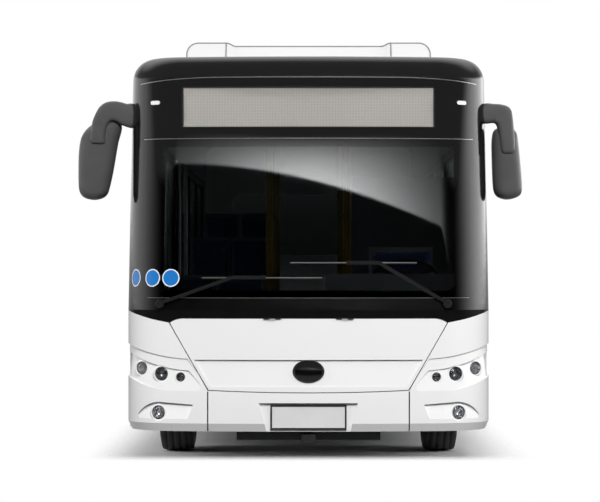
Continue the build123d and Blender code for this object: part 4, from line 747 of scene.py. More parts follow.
def marker_lamps():
    shape = bmesh.new()
    for side in SIDES:
        made = bmesh.new()
        add_block(made, -MARKER_SIZE / 2, MARKER_SIZE / 2)
        upright = [edge for edge in made.edges
                   if abs(edge.verts[0].co.z - edge.verts[1].co.z) > MARKER_SIZE.z / 2]
        bmesh.ops.bevel(made, geom=upright, offset=MARKER_ROUND, segments=6, affect="EDGES", profile=0.5)
        mesh = mesh_of("marker", made)
        mesh.transform(facing(*on_front(side * MARKER_X, MARKER_Z)))
        shape.from_mesh(mesh)
        bpy.data.meshes.remove(mesh)
    finished("marker_lamps", shape, WHITE_LENS, smooth=False)


marker_lamps()

# Windscreen and sign panes on the front's true curve: bow and corner radii in plan,
# rake and lean from the waist to the roof
BOW_R, CORNER_R, FRONT_RAKE, SIDE_LEAN = 6.0, 0.4, 0.14, 0.024
FRONT_WAIST_Z = 1.16
PANE_T, PANE_COLUMNS, PANE_ROWS, PANE_EDGE = 0.008, 150, 30, radians(40)


def front_curve(x, z):
    """Point and outward normal of the front's outer surface above the waist."""
    up = (z - FRONT_WAIST_Z) / (ROOF_Z - FRONT_WAIST_Z)
    corner_x = HALF - SIDE_LEAN * up - CORNER_R
    centre_y = NOSE_Y + FRONT_RAKE * up + BOW_R
    turn = asin(corner_x / (BOW_R - CORNER_R))
    if abs(x) <= BOW_R * sin(turn):
        plan = Vector((x, -sqrt(BOW_R ** 2 - x ** 2), 0))
        y = centre_y + plan.y
    else:
        plan = Vector((x - copysign(corner_x, x), -sqrt(CORNER_R ** 2 - (abs(x) - corner_x) ** 2), 0))
        y = centre_y - (BOW_R - CORNER_R) * cos(turn) + plan.y
    plan.normalize()
    back = FRONT_RAKE * abs(plan.y) + SIDE_LEAN * abs(plan.x)
    return Vector((x, y, z)), (plan + UP * back / (ROOF_Z - FRONT_WAIST_Z)).normalized()


def screen_panes():
    """The panes as fine grids, so that reflections run smoothly over them."""
    shape = bmesh.new()
    for low, high in islands("windscreen"):
        grid = {}
        for i in range(PANE_COLUMNS + 1):
            for j in range(PANE_ROWS + 1):
                x = low.x + (high.x - low.x) * i / PANE_COLUMNS
                point, normal = front_curve(x, low.z + (high.z - low.z) * j / PANE_ROWS)
                grid[0, i, j] = shape.verts.new(point)
                grid[1, i, j] = shape.verts.new(point - normal * PANE_T)
        close_grids(shape, grid, PANE_COLUMNS, PANE_ROWS)
    mesh = mesh_of("screen_panes", shape)
    mesh.set_sharp_from_angle(angle=PANE_EDGE)
    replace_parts(finished("screen_panes", mesh, SCREEN_GLASS), "windscreen")


screen_panes()

# Satin strips along the panes' joints, as painted highlights on the glass edges: (height in the middle,
# half length, how far the ends drop, width)
PANE_SHEEN_LINES = ((2.351, 1.15, 0.0, 0.006), (2.779, 1.18, 0.036, 0.006), (1.244, 1.12, 0.0, 0.003))
DROP_FROM_X, PANE_LINE_STEPS, PANE_LINE_PROUD = 0.6, 80, 0.0015


def pane_sheen_lines():
    shape = bmesh.new()
    for middle_z, half, drop, width in PANE_SHEEN_LINES:
        path, normals = [], {}
        for step in range(PANE_LINE_STEPS + 1):
            x = half * (2 * step / PANE_LINE_STEPS - 1)
            share = max(0.0, abs(x) - DROP_FROM_X) / (half - DROP_FROM_X)
            point, normal = on_front(x, middle_z - drop * share ** 2)
            path.append(point)
            normals[tuple(point)] = normal
        add_strip(shape, path, lambda point, found=normals: found[tuple(point)], width, PANE_LINE_PROUD)
    # Painted highlight: satin strips along the pane joints
    finished("pane_sheen_lines", shape, SATIN_AND_SHEEN, smooth=False)


pane_sheen_lines()

# Wipers lying along the screen: (body, arm's spindle, elbow and joint, blade's ends)
WIPERS = (("wiper_left", ((0.962, 1.202), (0.486, 1.484), (0.259, 1.485)), (-0.124, 0.745)),
          ("wiper_right", ((-1.031, 1.202), (-0.521, 1.384), (-0.293, 1.381)), (-0.734, 0.093)))
BLADE_GAP, BLADE_DEEP, BLADE_W, BLADE_STEPS = 0.007, 0.021, 0.016, 16
# Painted highlight: a satin strip along each blade's top stands in for the light edge of the black blade
SHEEN_STRIP_W, SHEEN_STRIP_PROUD, SHEEN_STRIP_SUNK = 0.006, 0.003, 0.001
WIPER_ARM_W, WIPER_ARM_T, WIPER_ARM_LIFT, WIPER_ARM_SUNK, WIPER_ARM_STEPS = 0.026, 0.014, 0.002, 0.006, 8
WIPER_BOSS, BOSS_SEGMENTS = ((0.0, -0.006), (0.03, -0.006), (0.03, 0.046), (0.025, 0.052), (0.0, 0.054)), 32


def along(stops, steps):
    """Points of (x, z) spread over the straight runs between some stops."""
    spread = [stops[0]]
    for (x, z), (to_x, to_z) in zip(stops, stops[1:]):
        for step in range(1, steps + 1):
            spread.append((x + (to_x - x) * step / steps, z + (to_z - z) * step / steps))
    return spread


def add_over_screen(shape, route, gap, width, proud, sunk):
    """Adds a strip that keeps a gap from the screen."""
    path = [point + normal * gap for point, normal in (front_curve(x, z) for x, z in route)]
    add_strip(shape, path, lambda point: front_curve(point.x, point.z)[1], width, proud, sunk)


def wipers():
    top = BLADE_GAP + BLADE_DEEP
    for name, arm, ends in WIPERS:
        shape, spine = bmesh.new(), bmesh.new()
        blade = along([(x, arm[-1][1]) for x in ends], BLADE_STEPS)
        add_over_screen(shape, blade, BLADE_GAP, BLADE_W, BLADE_DEEP, 0.0)
        # Painted highlight along the blade's top
        add_over_screen(spine, blade, top, SHEEN_STRIP_W, SHEEN_STRIP_PROUD, SHEEN_STRIP_SUNK)
        add_over_screen(shape, along(arm, WIPER_ARM_STEPS), top + WIPER_ARM_LIFT, WIPER_ARM_W, WIPER_ARM_T,
                        WIPER_ARM_SUNK)
        boss = facing(front_curve(*arm[0])[0], front_curve(0.0, arm[0][1])[1])
        add_turned(shape, WIPER_BOSS, boss, BOSS_SEGMENTS)
        piece = finished(f"{name}_arm", shape, WIPER_BLACK, body=name, smooth=False)
        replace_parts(piece, name)
        # The spine piece is the blade's painted highlight strip
        finished(f"{name}_spine", spine, SATIN_AND_SHEEN, body=name, smooth=False)


wipers()

# Outside mirrors: (side, arm, arm's spine, head, head's spine),
# outlines as (distance from the middle, height)
MIRRORS = (
    (-1, ((1.238, 2.604), (1.293, 2.617), (1.329, 2.628), (1.371, 2.635), (1.418, 2.632), (1.454, 2.619),
          (1.486, 2.591), (1.512, 2.546), (1.532, 2.497), (1.543, 2.445), (1.552, 2.393), (1.554, 2.356),
          (1.543, 2.336), (1.520, 2.329), (1.486, 2.327), (1.453, 2.329), (1.438, 2.343), (1.438, 2.382),
          (1.433, 2.424), (1.421, 2.466), (1.397, 2.492), (1.361, 2.486), (1.319, 2.463), (1.238, 2.455)),
     ((1.238, 2.531), (1.361, 2.565), (1.434, 2.554), (1.486, 2.471), (1.494, 2.361)),
     ((1.522, 2.486), (1.580, 2.439), (1.611, 2.393), (1.626, 2.346), (1.635, 2.273), (1.638, 2.184),
      (1.638, 2.090), (1.634, 2.015), (1.619, 1.975), (1.590, 1.950), (1.543, 1.938), (1.501, 1.940),
      (1.460, 1.955), (1.434, 1.982), (1.420, 2.023), (1.402, 2.101), (1.387, 2.179), (1.371, 2.273),
      (1.356, 2.356), (1.337, 2.424), (1.334, 2.471), (1.355, 2.507), (1.402, 2.518), (1.465, 2.510)),
     ((1.470, 2.403), (1.501, 2.247), (1.527, 2.023))),
    (1, ((1.238, 2.609), (1.322, 2.616), (1.380, 2.610), (1.419, 2.595), (1.441, 2.565), (1.451, 2.512),
         (1.458, 2.439), (1.463, 2.382), (1.466, 2.320), (1.463, 2.278), (1.445, 2.260), (1.414, 2.256),
         (1.382, 2.260), (1.364, 2.279), (1.356, 2.340), (1.349, 2.403), (1.339, 2.455), (1.317, 2.481),
         (1.238, 2.486)),
     ((1.238, 2.549), (1.354, 2.559), (1.393, 2.507), (1.411, 2.309)),
     ((1.343, 2.445), (1.317, 2.419), (1.307, 2.351), (1.308, 2.247), (1.311, 2.142), (1.315, 2.059),
      (1.322, 2.002), (1.341, 1.966), (1.375, 1.947), (1.419, 1.940), (1.463, 1.948), (1.500, 1.966),
      (1.517, 1.994), (1.519, 2.054), (1.513, 2.142), (1.503, 2.257), (1.493, 2.351), (1.487, 2.395),
      (1.474, 2.424), (1.448, 2.447), (1.395, 2.455)),
     ((1.398, 2.351), (1.414, 2.195), (1.419, 2.028))),
)
# Rings of each shell as (share of the outline, distance before the heads' back),
# and the rim and the squareness of its crown
HEAD_ROWS = ((0.84, 0.010), (0.86, 0.0), (0.96, 0.0), (1.0, 0.012), (1.0, 0.06))
ARM_ROWS = ((0.05, 0.072), (0.7, 0.072), (0.95, 0.084), (1.0, 0.1))
HEAD_RIM, HEAD_SQUARE, ARM_RIM, ARM_SQUARE = 0.06, 0.7, 0.125, 0.6
GLASS_ROWS = ((0.05, 0.012), (0.83, 0.012), (0.83, 0.005), (0.8, 0.004))
CROWN_STEPS, CROWN_TIP, LOOP_STEPS = 9, 0.02, 6


def smooth_loop(points):
    """Closed smooth curve through some points."""
    loop = []
    for index in range(len(points)):
        near = [Vector(points[(index + shift) % len(points)]) for shift in (-1, 0, 1, 2)]
        before, start, end, after = near
        for step in range(LOOP_STEPS):
            t = step / LOOP_STEPS
            loop.append(0.5 * (2 * start + (end - before) * t
                               + (2 * before - 5 * start + 4 * end - after) * t * t
                               + (3 * start - before - 3 * end + after) * t ** 3))
    return loop


def nearest_on(spine, point):
    """Nearest point of a spine's straight runs."""
    found = []
    for start, end in zip(spine, spine[1:]):
        run = Vector(end) - Vector(start)
        share = (point - Vector(start)).dot(run) / run.length_squared
        found.append(Vector(start) + run * min(max(share, 0.0), 1.0))
    return min(found, key=lambda place: (place - point).length)


def add_drawn_in(shape, side, outline, spine, rows):
    """Adds a closed shell of an outline drawn in towards its spine, one ring for each (share, y)."""
    loop = smooth_loop(outline)
    centres = [nearest_on(spine, point) for point in loop]
    rings = []
    for share, y in rows:
        drawn = [centre + (point - centre) * share for point, centre in zip(loop, centres)]
        rings.append([shape.verts.new((side * place.x, y, place.y)) for place in drawn])
    bridge(shape, rings)


def crowned(rim_y, front_y, squareness):
    """Rows of a rounded crown from a rim to the front."""
    rows = []
    for step in range(1, CROWN_STEPS + 1):
        turn = pi / 2 * step / CROWN_STEPS
        share = max(cos(turn), 0.0) ** squareness + CROWN_TIP
        rows.append((share, rim_y + (front_y - rim_y) * sin(turn)))
    return rows


def mirrors():
    front, back = (corner.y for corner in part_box("mirror_heads"))
    arm_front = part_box("mirror_arms")[0].y
    head_rows, arm_rows, glass_rows = ([(share, back - before) for share, before in rows]
                                       for rows in (HEAD_ROWS, ARM_ROWS, GLASS_ROWS))
    head_rows += crowned(back - HEAD_RIM, front, HEAD_SQUARE)
    arm_rows += crowned(back - ARM_RIM, arm_front, ARM_SQUARE)
    arms, heads, glasses = bmesh.new(), bmesh.new(), bmesh.new()
    for side, arm, arm_spine, head, head_spine in MIRRORS:
        add_drawn_in(arms, side, arm, arm_spine, arm_rows)
        add_drawn_in(heads, side, head, head_spine, head_rows)
        add_drawn_in(glasses, side, head, head_spine, glass_rows)
    for node, shape, finish, slot in (("arms", arms, MIRROR_SHELL_AND_SHEEN, "black_plastic"),
                                      ("heads", heads, MIRROR_SHELL_AND_SHEEN, "black_plastic"),
                                      ("plates", glasses, MIRROR_GLASS, "mirror")):
        piece = finished(f"smooth_mirror_{node}", shape, finish, smooth=node != "plates")
        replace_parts(piece, f"mirror_{node}")


mirrors()

# Blank stickers in the screen's lower corner
STICKER_XS, STICKER_Z, STICKER_R, STICKER_PROUD = (-1.21, -1.086, -0.955), 1.382, 0.062, 0.0012
STICKER_RINGS, STICKER_SPOKES, STICKER_PROBE = 6, 40, Vector((0, 0, 0.06))


def stickers():
    """Discs laid on the screen, each with a map that runs from its middle to its rim."""
    shape = bmesh.new()
    chart = shape.loops.layers.uv.new("Disc")
    for x in STICKER_XS:
        point, normal = on_front(x, STICKER_Z)
        place = facing(point, normal)
        placed = {}
        for ring in range(STICKER_RINGS + 1):
            for spoke in range(STICKER_SPOKES if ring else 1):
                share, turn = ring / STICKER_RINGS, 2 * pi * spoke / STICKER_SPOKES
                flat = Vector((share * cos(turn), share * sin(turn), 0))
                hit, out = FRONT_SKIN.ray_cast(place @ (flat * STICKER_R + STICKER_PROBE), -normal)[:2]
                placed[ring, spoke] = (shape.verts.new(hit + out * STICKER_PROUD), flat)
        for ring in range(STICKER_RINGS):
            for spoke in range(STICKER_SPOKES):
                following = (spoke + 1) % STICKER_SPOKES
                keys = [(ring, spoke if ring else 0), (ring + 1, spoke), (ring + 1, following),
                        (ring, following if ring else 0)]
                keys = list(dict.fromkeys(keys))
                face = shape.faces.new([placed[key][0] for key in keys])
                for loop, key in zip(face.loops, keys):
                    loop[chart].uv = placed[key][1].xy
    finished("screen_stickers", shape, STICKER)


stickers()

# Bare oval trim on the flap as (share of the oval, height) profiles, blank plate on its carrier
BADGE_Z, BADGE_HALF, BADGE_SEGMENTS = 0.737, (0.11, 0.079), 64
BADGE_RIM = ((1.0, -0.004), (1.0, 0.006), (0.97, 0.012), (0.9, 0.013), (0.86, 0.008), (0.86, -0.004))
BADGE_DISH = ((0.87, 0.004), (0.7, 0.007), (0.4, 0.010), (0.0, 0.011))
PLATE_RIM, PLATE_RIM_PROUD, PLATE_RIM_SUNK, PLATE_RIM_ROUND = 0.012, 0.010, 0.002, 0.003
SHEET_PROUD, SHEET_GAP, SHEET_ROUND = 0.004, 0.001, 0.001


def oval_trim():
    place = facing(*on_front(0.0, BADGE_Z)) @ Matrix.Diagonal((*BADGE_HALF, 1, 1))
    rim, dish = bmesh.new(), bmesh.new()
    add_turned(rim, BADGE_RIM, place, BADGE_SEGMENTS)
    add_turned(dish, BADGE_DISH, place, BADGE_SEGMENTS)
    finished("badge_rim", rim, PLASTIC, body="front_flap")
    finished("badge_field", dish, BLACK, body="front_flap")


def number_plate():
    low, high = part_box("plate_carrier")
    left, right, foot, top = low.x + PLATE_RIM, high.x - PLATE_RIM, low.z + PLATE_RIM, high.z - PLATE_RIM
    border, sheet = bmesh.new(), bmesh.new()
    for from_x, to_x, from_z, to_z in ((low.x, high.x, low.z, foot), (low.x, high.x, top, high.z),
                                       (low.x, left, foot, top), (right, high.x, foot, top)):
        add_block(border, (from_x, low.y - PLATE_RIM_PROUD, from_z), (to_x, low.y + PLATE_RIM_SUNK, to_z),
                  PLATE_RIM_ROUND)
    add_block(sheet, (left, low.y - SHEET_PROUD, foot), (right, low.y - SHEET_GAP, top), SHEET_ROUND)
    finished("plate_frame", border, PLASTIC, smooth=False)
    finished("blank_plate", sheet, PLATE_SILVER_AND_LIGHT, smooth=False)


oval_trim()
number_plate()

# Wheels by corner, with the ending that twin wheels give to the names of their tyres and their body
WHEELS = (("front_left", ""), ("front_right", ""), ("rear_left", "s"), ("rear_right", "s"))
# Tyres with ribs, shoulder notches and a stepped sidewall
RIM_R = 0.286
TREAD_GROOVE, TREAD_DEPTH, TREAD_XS, TREAD_DROP = 0.011, 0.013, (0.08, 0.028), 0.006
NOTCHES, NOTCH_DEPTH, NOTCH_R, NOTCH_X = 60, 0.009, TYRE_R - 0.02, 0.1


def tread_profile():
    """(radius, height) points over the tyre's section, bead to bead, with four grooves."""
    half = TYRE_W / 2
    crown = TYRE_R - 0.001
    upper = [(RIM_R, half - 0.042), (RIM_R + 0.02, half - 0.03), (RIM_R + 0.05, half - 0.01),
             (RIM_R + 0.055, half - 0.006), (RIM_R + 0.09, half - 0.002), (TYRE_R - 0.07, half - 0.004),
             (TYRE_R - 0.03, half - 0.012), (crown - 0.012, half - 0.018), (crown - 0.008, half - 0.03)]
    for middle in TREAD_XS:
        edge, foot = crown - TREAD_DROP * (middle / half) ** 2, crown - TREAD_DEPTH
        upper += [(edge, middle + TREAD_GROOVE / 2), (foot, middle + TREAD_GROOVE / 3),
                  (foot, middle - TREAD_GROOVE / 3), (edge, middle - TREAD_GROOVE / 2)]
    return upper + [(radius, -height) for radius, height in reversed(upper)]


def add_tyre(shape, centre):
    """Adds one road tyre about the X axis through its centre."""
    segments = 2 * NOTCHES
    rings = []
    for radius, height in tread_profile():
        notch = NOTCH_DEPTH if NOTCH_R < radius and abs(height) > NOTCH_X else 0.0
        ring = []
        for step in range(segments):
            turn = 2 * pi * step / segments
            length = radius - notch * (step % 2)
            ring.append(shape.verts.new(centre + Vector((height, length * cos(turn), length * sin(turn)))))
        rings.append(ring)
    bridge(shape, rings + rings[:1], capped=False)


def tyres():
    for corner, twin in WHEELS:
        node = f"{corner}_tyre{twin}"
        low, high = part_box(node)
        xs = (low.x + TYRE_W / 2, high.x - TYRE_W / 2)
        shape = bmesh.new()
        for x in xs if twin else xs[:1]:
            add_tyre(shape, Vector((x, (low.y + high.y) / 2, (low.z + high.z) / 2)))
        piece = finished(f"{node}_tread", shape, TYRE, body=f"{corner}_wheel{twin}")
        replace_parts(piece, node)


tyres()

# Wheel nuts
NUT_RING = nut_ring_tree()
NUT_PITCH_R = 0.1675
NUT_SIZES = {"Count": 10, "Pitch radius": NUT_PITCH_R, "Nut radius": 0.019, "Nut height": 0.03}
NUT_PROBE = 0.2


def wheel_nuts():
    for corner, twin in WHEELS:
        node = f"{corner}_wheel"
        low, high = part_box(node)
        side = 1 if high.x > 0 else -1
        out = Vector((side, 0, 0))
        centre = (low + high) / 2
        start = Vector((side * (HALF + NUT_PROBE), centre.y + NUT_PITCH_R, centre.z))
        face = surface_of(node).ray_cast(start, -out)[0]
        place = facing(Vector((face.x, centre.y, centre.z)), out)
        mesh = grown(NUT_RING, NUT_SIZES, SATIN_AND_SHEEN, place)
        finished(f"{node}_nuts", mesh, SATIN_AND_SHEEN, body=f"{corner}_wheel{twin}", smooth=False)


wheel_nuts()

# Seats: moulded shell, crowned cushion and back pad for each place;
# the shell's profile as (from the middle, from the floor)
SEAT_PLACE_W, SEAT_MIDDLE, SHELL_GAP, PAD_IN = 0.415, 0.22, 0.008, 0.05
SHELL_PROFILE = ((-0.215, 0.408), (-0.205, 0.400), (0.188, 0.385), (0.205, 0.40), (0.283, 1.0),
                 (0.275, 1.012), (0.256, 1.012), (0.245, 1.0), (0.17, 0.45), (0.14, 0.43), (-0.2, 0.438),
                 (-0.213, 0.43))
# Pads as (from the middle, from the floor, tilt in degrees, depth, thickness, crown)
SEAT_PADS = {"cushion": (-0.025, 0.436, 0.0, 0.35, 0.03, 0.014),
             "back": (0.2055, 0.73, 82.2, 0.50, 0.028, 0.012)}
PAD_STEPS, PAD_PULL, PAD_FOOT = 12, 0.035, 0.03
PAD_EDGE, PAD_FACE, CHANNEL_DEEP, CHANNEL_AT, CHANNEL_HALF = 0.55, 0.82, 0.12, 0.45, 0.09
# Pedestal as (half width, half depth, foot, top, rounding)
SEAT_LEG = ((0.12, 0.09, 0.0, 0.012, 0.004), (0.05, 0.05, 0.01, 0.395, 0.012))


def add_pad(shape, place, width, depth, thick, crown):
    """Adds a crowned pad with two channels: flat underneath, sides pulled in between its corners."""
    grid = {}
    for layer in (1, 0):
        foot = 1 - PAD_FOOT * (1 - layer)
        for i in range(PAD_STEPS + 1):
            for j in range(PAD_STEPS + 1):
                u, v = 2 * i / PAD_STEPS - 1, 2 * j / PAD_STEPS - 1
                pull_u, pull_v = 1 - PAD_PULL * (1 - v * v), 1 - PAD_PULL * (1 - u * u)
                dome = (1 - abs(u) ** 4) * (1 - abs(v) ** 4)
                channel = CHANNEL_DEEP * thick * max(0.0, 1 - abs(abs(v) - CHANNEL_AT) / CHANNEL_HALF)
                base = thick * (PAD_EDGE if max(abs(u), abs(v)) == 1 else PAD_FACE)
                rise = base + crown * dome - channel if layer else 0.0
                local = Vector((u * width / 2 * pull_u * foot, v * depth / 2 * pull_v * foot, rise))
                grid[layer, i, j] = shape.verts.new(place @ local)
    close_grids(shape, grid, PAD_STEPS, PAD_STEPS)


def seats():
    shells, legs = bmesh.new(), bmesh.new()
    for number, (low, high) in enumerate(islands("seats")):
        y, floor_z = low.y + SEAT_MIDDLE, low.z
        places = max(1, round((high.x - low.x) / SEAT_PLACE_W))
        width = (high.x - low.x) / places
        pads = {part: bmesh.new() for part in SEAT_PADS}
        for index in range(places):
            x = low.x + (index + 0.5) * width
            ends = (x - width / 2 + SHELL_GAP, x + width / 2 - SHELL_GAP)
            bridge(shells, [[shells.verts.new((end, y + dy, floor_z + dz)) for dy, dz in SHELL_PROFILE]
                            for end in ends])
            for part, (dy, dz, tilt, *sizes) in SEAT_PADS.items():
                lean = Matrix.Rotation(radians(tilt), 4, "X")
                place = Matrix.Translation((x, y + dy, floor_z + dz)) @ lean
                add_pad(pads[part], place, width - PAD_IN, *sizes)
        middle = (low.x + high.x) / 2
        for half_x, half_y, foot, top, rounding in SEAT_LEG:
            add_block(legs, (middle - half_x, y - half_y, floor_z + foot),
                      (middle + half_x, y + half_y, floor_z + top), rounding)
        for part, shape in pads.items():
            piece = finished(f"seat_{part}_{number + 1:02d}", shape, CLOTH)
    shell = finished("seat_shells", shells, SHELL_GREY, smooth=False)
    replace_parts(shell, "seats")
    finished("seat_legs", legs, SATIN_AND_SHEEN, smooth=False)


seats()

# Wheel-arch lips: (axle, radius); they run from a start over a sweep in degrees
ARCH_LIPS = ((FRONT_AXLE_Y, 0.575), (REAR_AXLE_Y, 0.545))
LIP_OUT, LIP_W, LIP_PROUD, LIP_START, LIP_SWEEP, LIP_STEPS = 0.012, 0.03, 0.008, -14, 208, 48
# Skirt joints and marker lamps along each side
SKIRT_JOINTS = {1: (-4.9, -4.2, -2.5, -1.3, -0.1, 1.1, 3.4, 4.5), -1: (-2.5, -1.6, -0.7, 1.2, 3.4, 4.5)}
JOINT_W, JOINT_PROUD, JOINT_FOOT, JOINT_TOP = 0.007, 0.0008, SKIRT_Z + 0.01, WAIST_Z - 0.03
SIDE_LAMPS = {1: (-4.2, -2.35, -0.55, 1.25, 3.55, 5.2), -1: (-3.95, -2.35, -0.55, 1.25, 3.55, 5.2)}
SIDE_LAMP_HALF, SIDE_LAMP_ZS, SIDE_LAMP_ROUND = 0.05, (0.60, 0.64), 0.005
SIDE_LAMP_INNER, SIDE_LAMP_PROUD = 0.004, 0.012
# Drip rails over the window bands, where the side leans in
DRIP_IN, DRIP_LIFT, DRIP_W, DRIP_PROUD = 0.0176, 0.004, 0.022, 0.007


def arch_lips():
    shape = bmesh.new()
    for side in SIDES:
        for axle_y, radius in ARCH_LIPS:
            reach = radius + LIP_OUT
            turns = [radians(LIP_START + LIP_SWEEP * step / LIP_STEPS) for step in range(LIP_STEPS + 1)]
            path = [Vector((side * HALF, axle_y + reach * cos(turn), TYRE_R + reach * sin(turn)))
                    for turn in turns]
            path = [point for point in path if point.z > SKIRT_Z]
            add_strip(shape, path, Vector((side, 0, 0)), LIP_W, LIP_PROUD)
    finished("arch_lips", shape, RUBBER_AND_SHADE, smooth=False)


def skirt_joints():
    """Dark joints between the skirt panels."""
    shape = bmesh.new()
    for side in SIDES:
        for y in SKIRT_JOINTS[side]:
            path = [Vector((side * HALF, y, z)) for z in (JOINT_FOOT, JOINT_TOP)]
            add_strip(shape, path, Vector((side, 0, 0)), JOINT_W, JOINT_PROUD)
    finished("skirt_joints", shape, RUBBER_AND_SHADE, smooth=False)


def side_lamps():
    shape = bmesh.new()
    low_z, high_z = SIDE_LAMP_ZS
    for side in SIDES:
        low_x, high_x = sorted((side * HALF - SIDE_LAMP_INNER, side * (HALF + SIDE_LAMP_PROUD)))
        for y in SIDE_LAMPS[side]:
            add_block(shape, (low_x, y - SIDE_LAMP_HALF, low_z), (high_x, y + SIDE_LAMP_HALF, high_z),
                      SIDE_LAMP_ROUND)
    finished("side_marker_lamps", shape, AMBER_LENS, smooth=False)


def drip_rails():
    shape = bmesh.new()
    low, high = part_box("left_window_band")
    for side in SIDES:
        path = [Vector((side * (HALF - DRIP_IN), y, high.z + DRIP_LIFT)) for y in (low.y, high.y)]
        add_strip(shape, path, Vector((side, 0, 0)), DRIP_W, DRIP_PROUD)
    finished("drip_rails", shape, RUBBER_AND_SHADE, smooth=False)


arch_lips()
skirt_joints()
side_lamps()
drip_rails()

# Rear lid louvres and rear lamp bezels, the bezels' profile as (out from the lamp's radius, height)
SLAT_ROW = slat_row_tree()
LOUVRE_SIZES = {"Count": 11, "Pitch": 0.034, "Slat size": (0.022, 0.012, 0.52)}
LOUVRE_X, LOUVRE_FOOT_Z, LOUVRE_PROBE_Z, LOUVRE_PROUD, LOUVRE_PROBE = 0.4, 0.68, 0.86, 0.002, 0.3
REAR_BEZEL = ((0.001, -0.03), (0.012, -0.004), (0.010, 0.004), (0.001, 0.004))
REAR_BEZEL_IN, REAR_BEZEL_SEGMENTS = 0.012, 40


def rear_louvres():
    lid_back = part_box("rear_lid")[1].y
    skin = surface_of("rear_lid")
    meshes = []
    for side in SIDES:
        x = side * LOUVRE_X
        face = skin.ray_cast(Vector((x, lid_back + LOUVRE_PROBE, LOUVRE_PROBE_Z)), -TO_BACK)[0]
        foot = Matrix.Translation((x, face.y + LOUVRE_PROUD, LOUVRE_FOOT_Z))
        meshes.append(grown(SLAT_ROW, LOUVRE_SIZES, PLASTIC, foot @ Matrix.Rotation(-pi / 2, 4, "Y")))
    mesh = joined("lid_louvres", meshes)
    finished("lid_louvres", mesh, PLASTIC, body="rear_lid", smooth=False)


def rear_bezels():
    shape = bmesh.new()
    for low, high in islands("rear_lamps"):
        centre = (low + high) / 2
        lamp_r = (high.z - low.z) / 2
        place = facing(Vector((centre.x, high.y - REAR_BEZEL_IN, centre.z)), TO_BACK)
        profile = [(lamp_r + out, height) for out, height in REAR_BEZEL]
        add_turned(shape, profile, place, REAR_BEZEL_SEGMENTS)
    finished("rear_lamp_bezels", shape, PLASTIC)


rear_louvres()
rear_bezels()

# Painted shade: dark strips at the bottom of the grooves between bumper and corner panels
GROOVE_SHADE_X, GROOVE_SHADE_W, GROOVE_SHADE_PROUD = 0.697, 0.009, 0.006
GROOVE_SHADE_ZS = (0.325, 0.35, 0.375, 0.45, 0.52, 0.596)


def bumper_groove_shade():
    skin = surface_of("front_bumper")
    shape = bmesh.new()
    for side in SIDES:
        hits = [front_hit(skin, side * (GROOVE_SHADE_X - GROOVE_SHADE_W / 4), z)[0] for z in GROOVE_SHADE_ZS]
        path = [Vector((side * GROOVE_SHADE_X, hit.y, hit.z)) for hit in hits]
        add_strip(shape, path, -TO_BACK, GROOVE_SHADE_W, GROOVE_SHADE_PROUD)
    # Painted shade in the grooves
    finished("bumper_groove_shade", shape, RUBBER_AND_SHADE, smooth=False)


bumper_groove_shade()

# Roof units: rounded lobes along both sides, joint lines round the front faces, bolts along the sides
UNIT_MID_DROP, UNIT_ROUND, UNIT_KNEE, UNIT_SLANT, UNIT_EDGE = 0.023, 0.088, 0.06, 0.15, radians(35)
LOBE_X, LOBE_RUN, LOBE_PROUD, UNIT_STEPS = 0.64, 0.075, 0.05, 8
UNIT_LINE_W, UNIT_LINE_PROUD, UNIT_LINE_IN = 0.011, 0.003, 0.006
BOLT_ROW = bolt_row_tree()
BOLT_PITCH, BOLT_START, BOLT_SPARE, BOLT_IN, BOLT_LIFT = 0.4, 0.2, 0.3, 0.03, 0.1
BOLT_SIZES = {"Pitch": BOLT_PITCH, "Head radius": 0.012, "Head height": 0.05}


def unit_section(half, top_z):
    """Section of a roof unit from side to side: place, height and share of the lobe."""
    points = [(0.0, top_z - UNIT_MID_DROP, 0.0)]
    for step in range(UNIT_STEPS + 1):
        lobe = (1 - cos(pi * step / UNIT_STEPS)) / 2
        x = LOBE_X - LOBE_RUN * (1 - step / UNIT_STEPS)
        points.append((x, top_z - UNIT_MID_DROP * (1 - lobe), lobe))
    for step in range(UNIT_STEPS + 1):
        turn = pi / 2 * step / UNIT_STEPS
        points.append((half - UNIT_ROUND * (1 - sin(turn)), top_z - UNIT_ROUND * (1 - cos(turn)), 1.0))
    return [(-x, z, lobe) for x, z, lobe in reversed(points[1:])] + points


def roof_units():
    """Both units with slanted ends; the front faces of the lobes stand before the middle."""
    housings, lines = bmesh.new(), bmesh.new()
    for low, high in islands("roof_units"):
        knee_z = low.z + UNIT_KNEE
        slant = UNIT_SLANT / (high.z - knee_z)

        def front(x, z, lobe):
            return Vector((x, low.y + LOBE_PROUD * (1 - lobe) + slant * max(z - knee_z, 0.0), z))

        section = unit_section(high.x, high.z)
        rings = []
        for x, z, lobe in section:
            ring = [front(x, height, lobe) for height in (low.z, knee_z, z)]
            ring += [Vector((x, high.y - slant * (z - knee_z), z)), Vector((x, high.y, knee_z)),
                     Vector((x, high.y, low.z))]
            rings.append([housings.verts.new(point) for point in ring])
        bridge(housings, rings)
        edge = [((1 - UNIT_LINE_IN) * x, z - UNIT_LINE_IN, lobe) for x, z, lobe in section]
        foot = knee_z + UNIT_LINE_IN
        paths = [[(edge[0][0], foot, 1.0)] + edge + [(edge[-1][0], foot, 1.0)]]
        for side in SIDES:
            paths.append([(side * LOBE_X, z, 1.0) for z in (foot, high.z - UNIT_LINE_IN)])
        for path in paths:
            add_strip(lines, [front(*place) for place in path], Vector((0, -1, slant)), UNIT_LINE_W,
                      UNIT_LINE_PROUD)
    mesh = mesh_of("smooth_roof_units", housings)
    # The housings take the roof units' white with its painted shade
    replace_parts(finished("smooth_roof_units", mesh, POD_SHADED_WHITE), "roof_units")
    mesh.set_sharp_from_angle(angle=UNIT_EDGE)
    finished("roof_unit_lines", lines, SEAM_GREY, smooth=False)


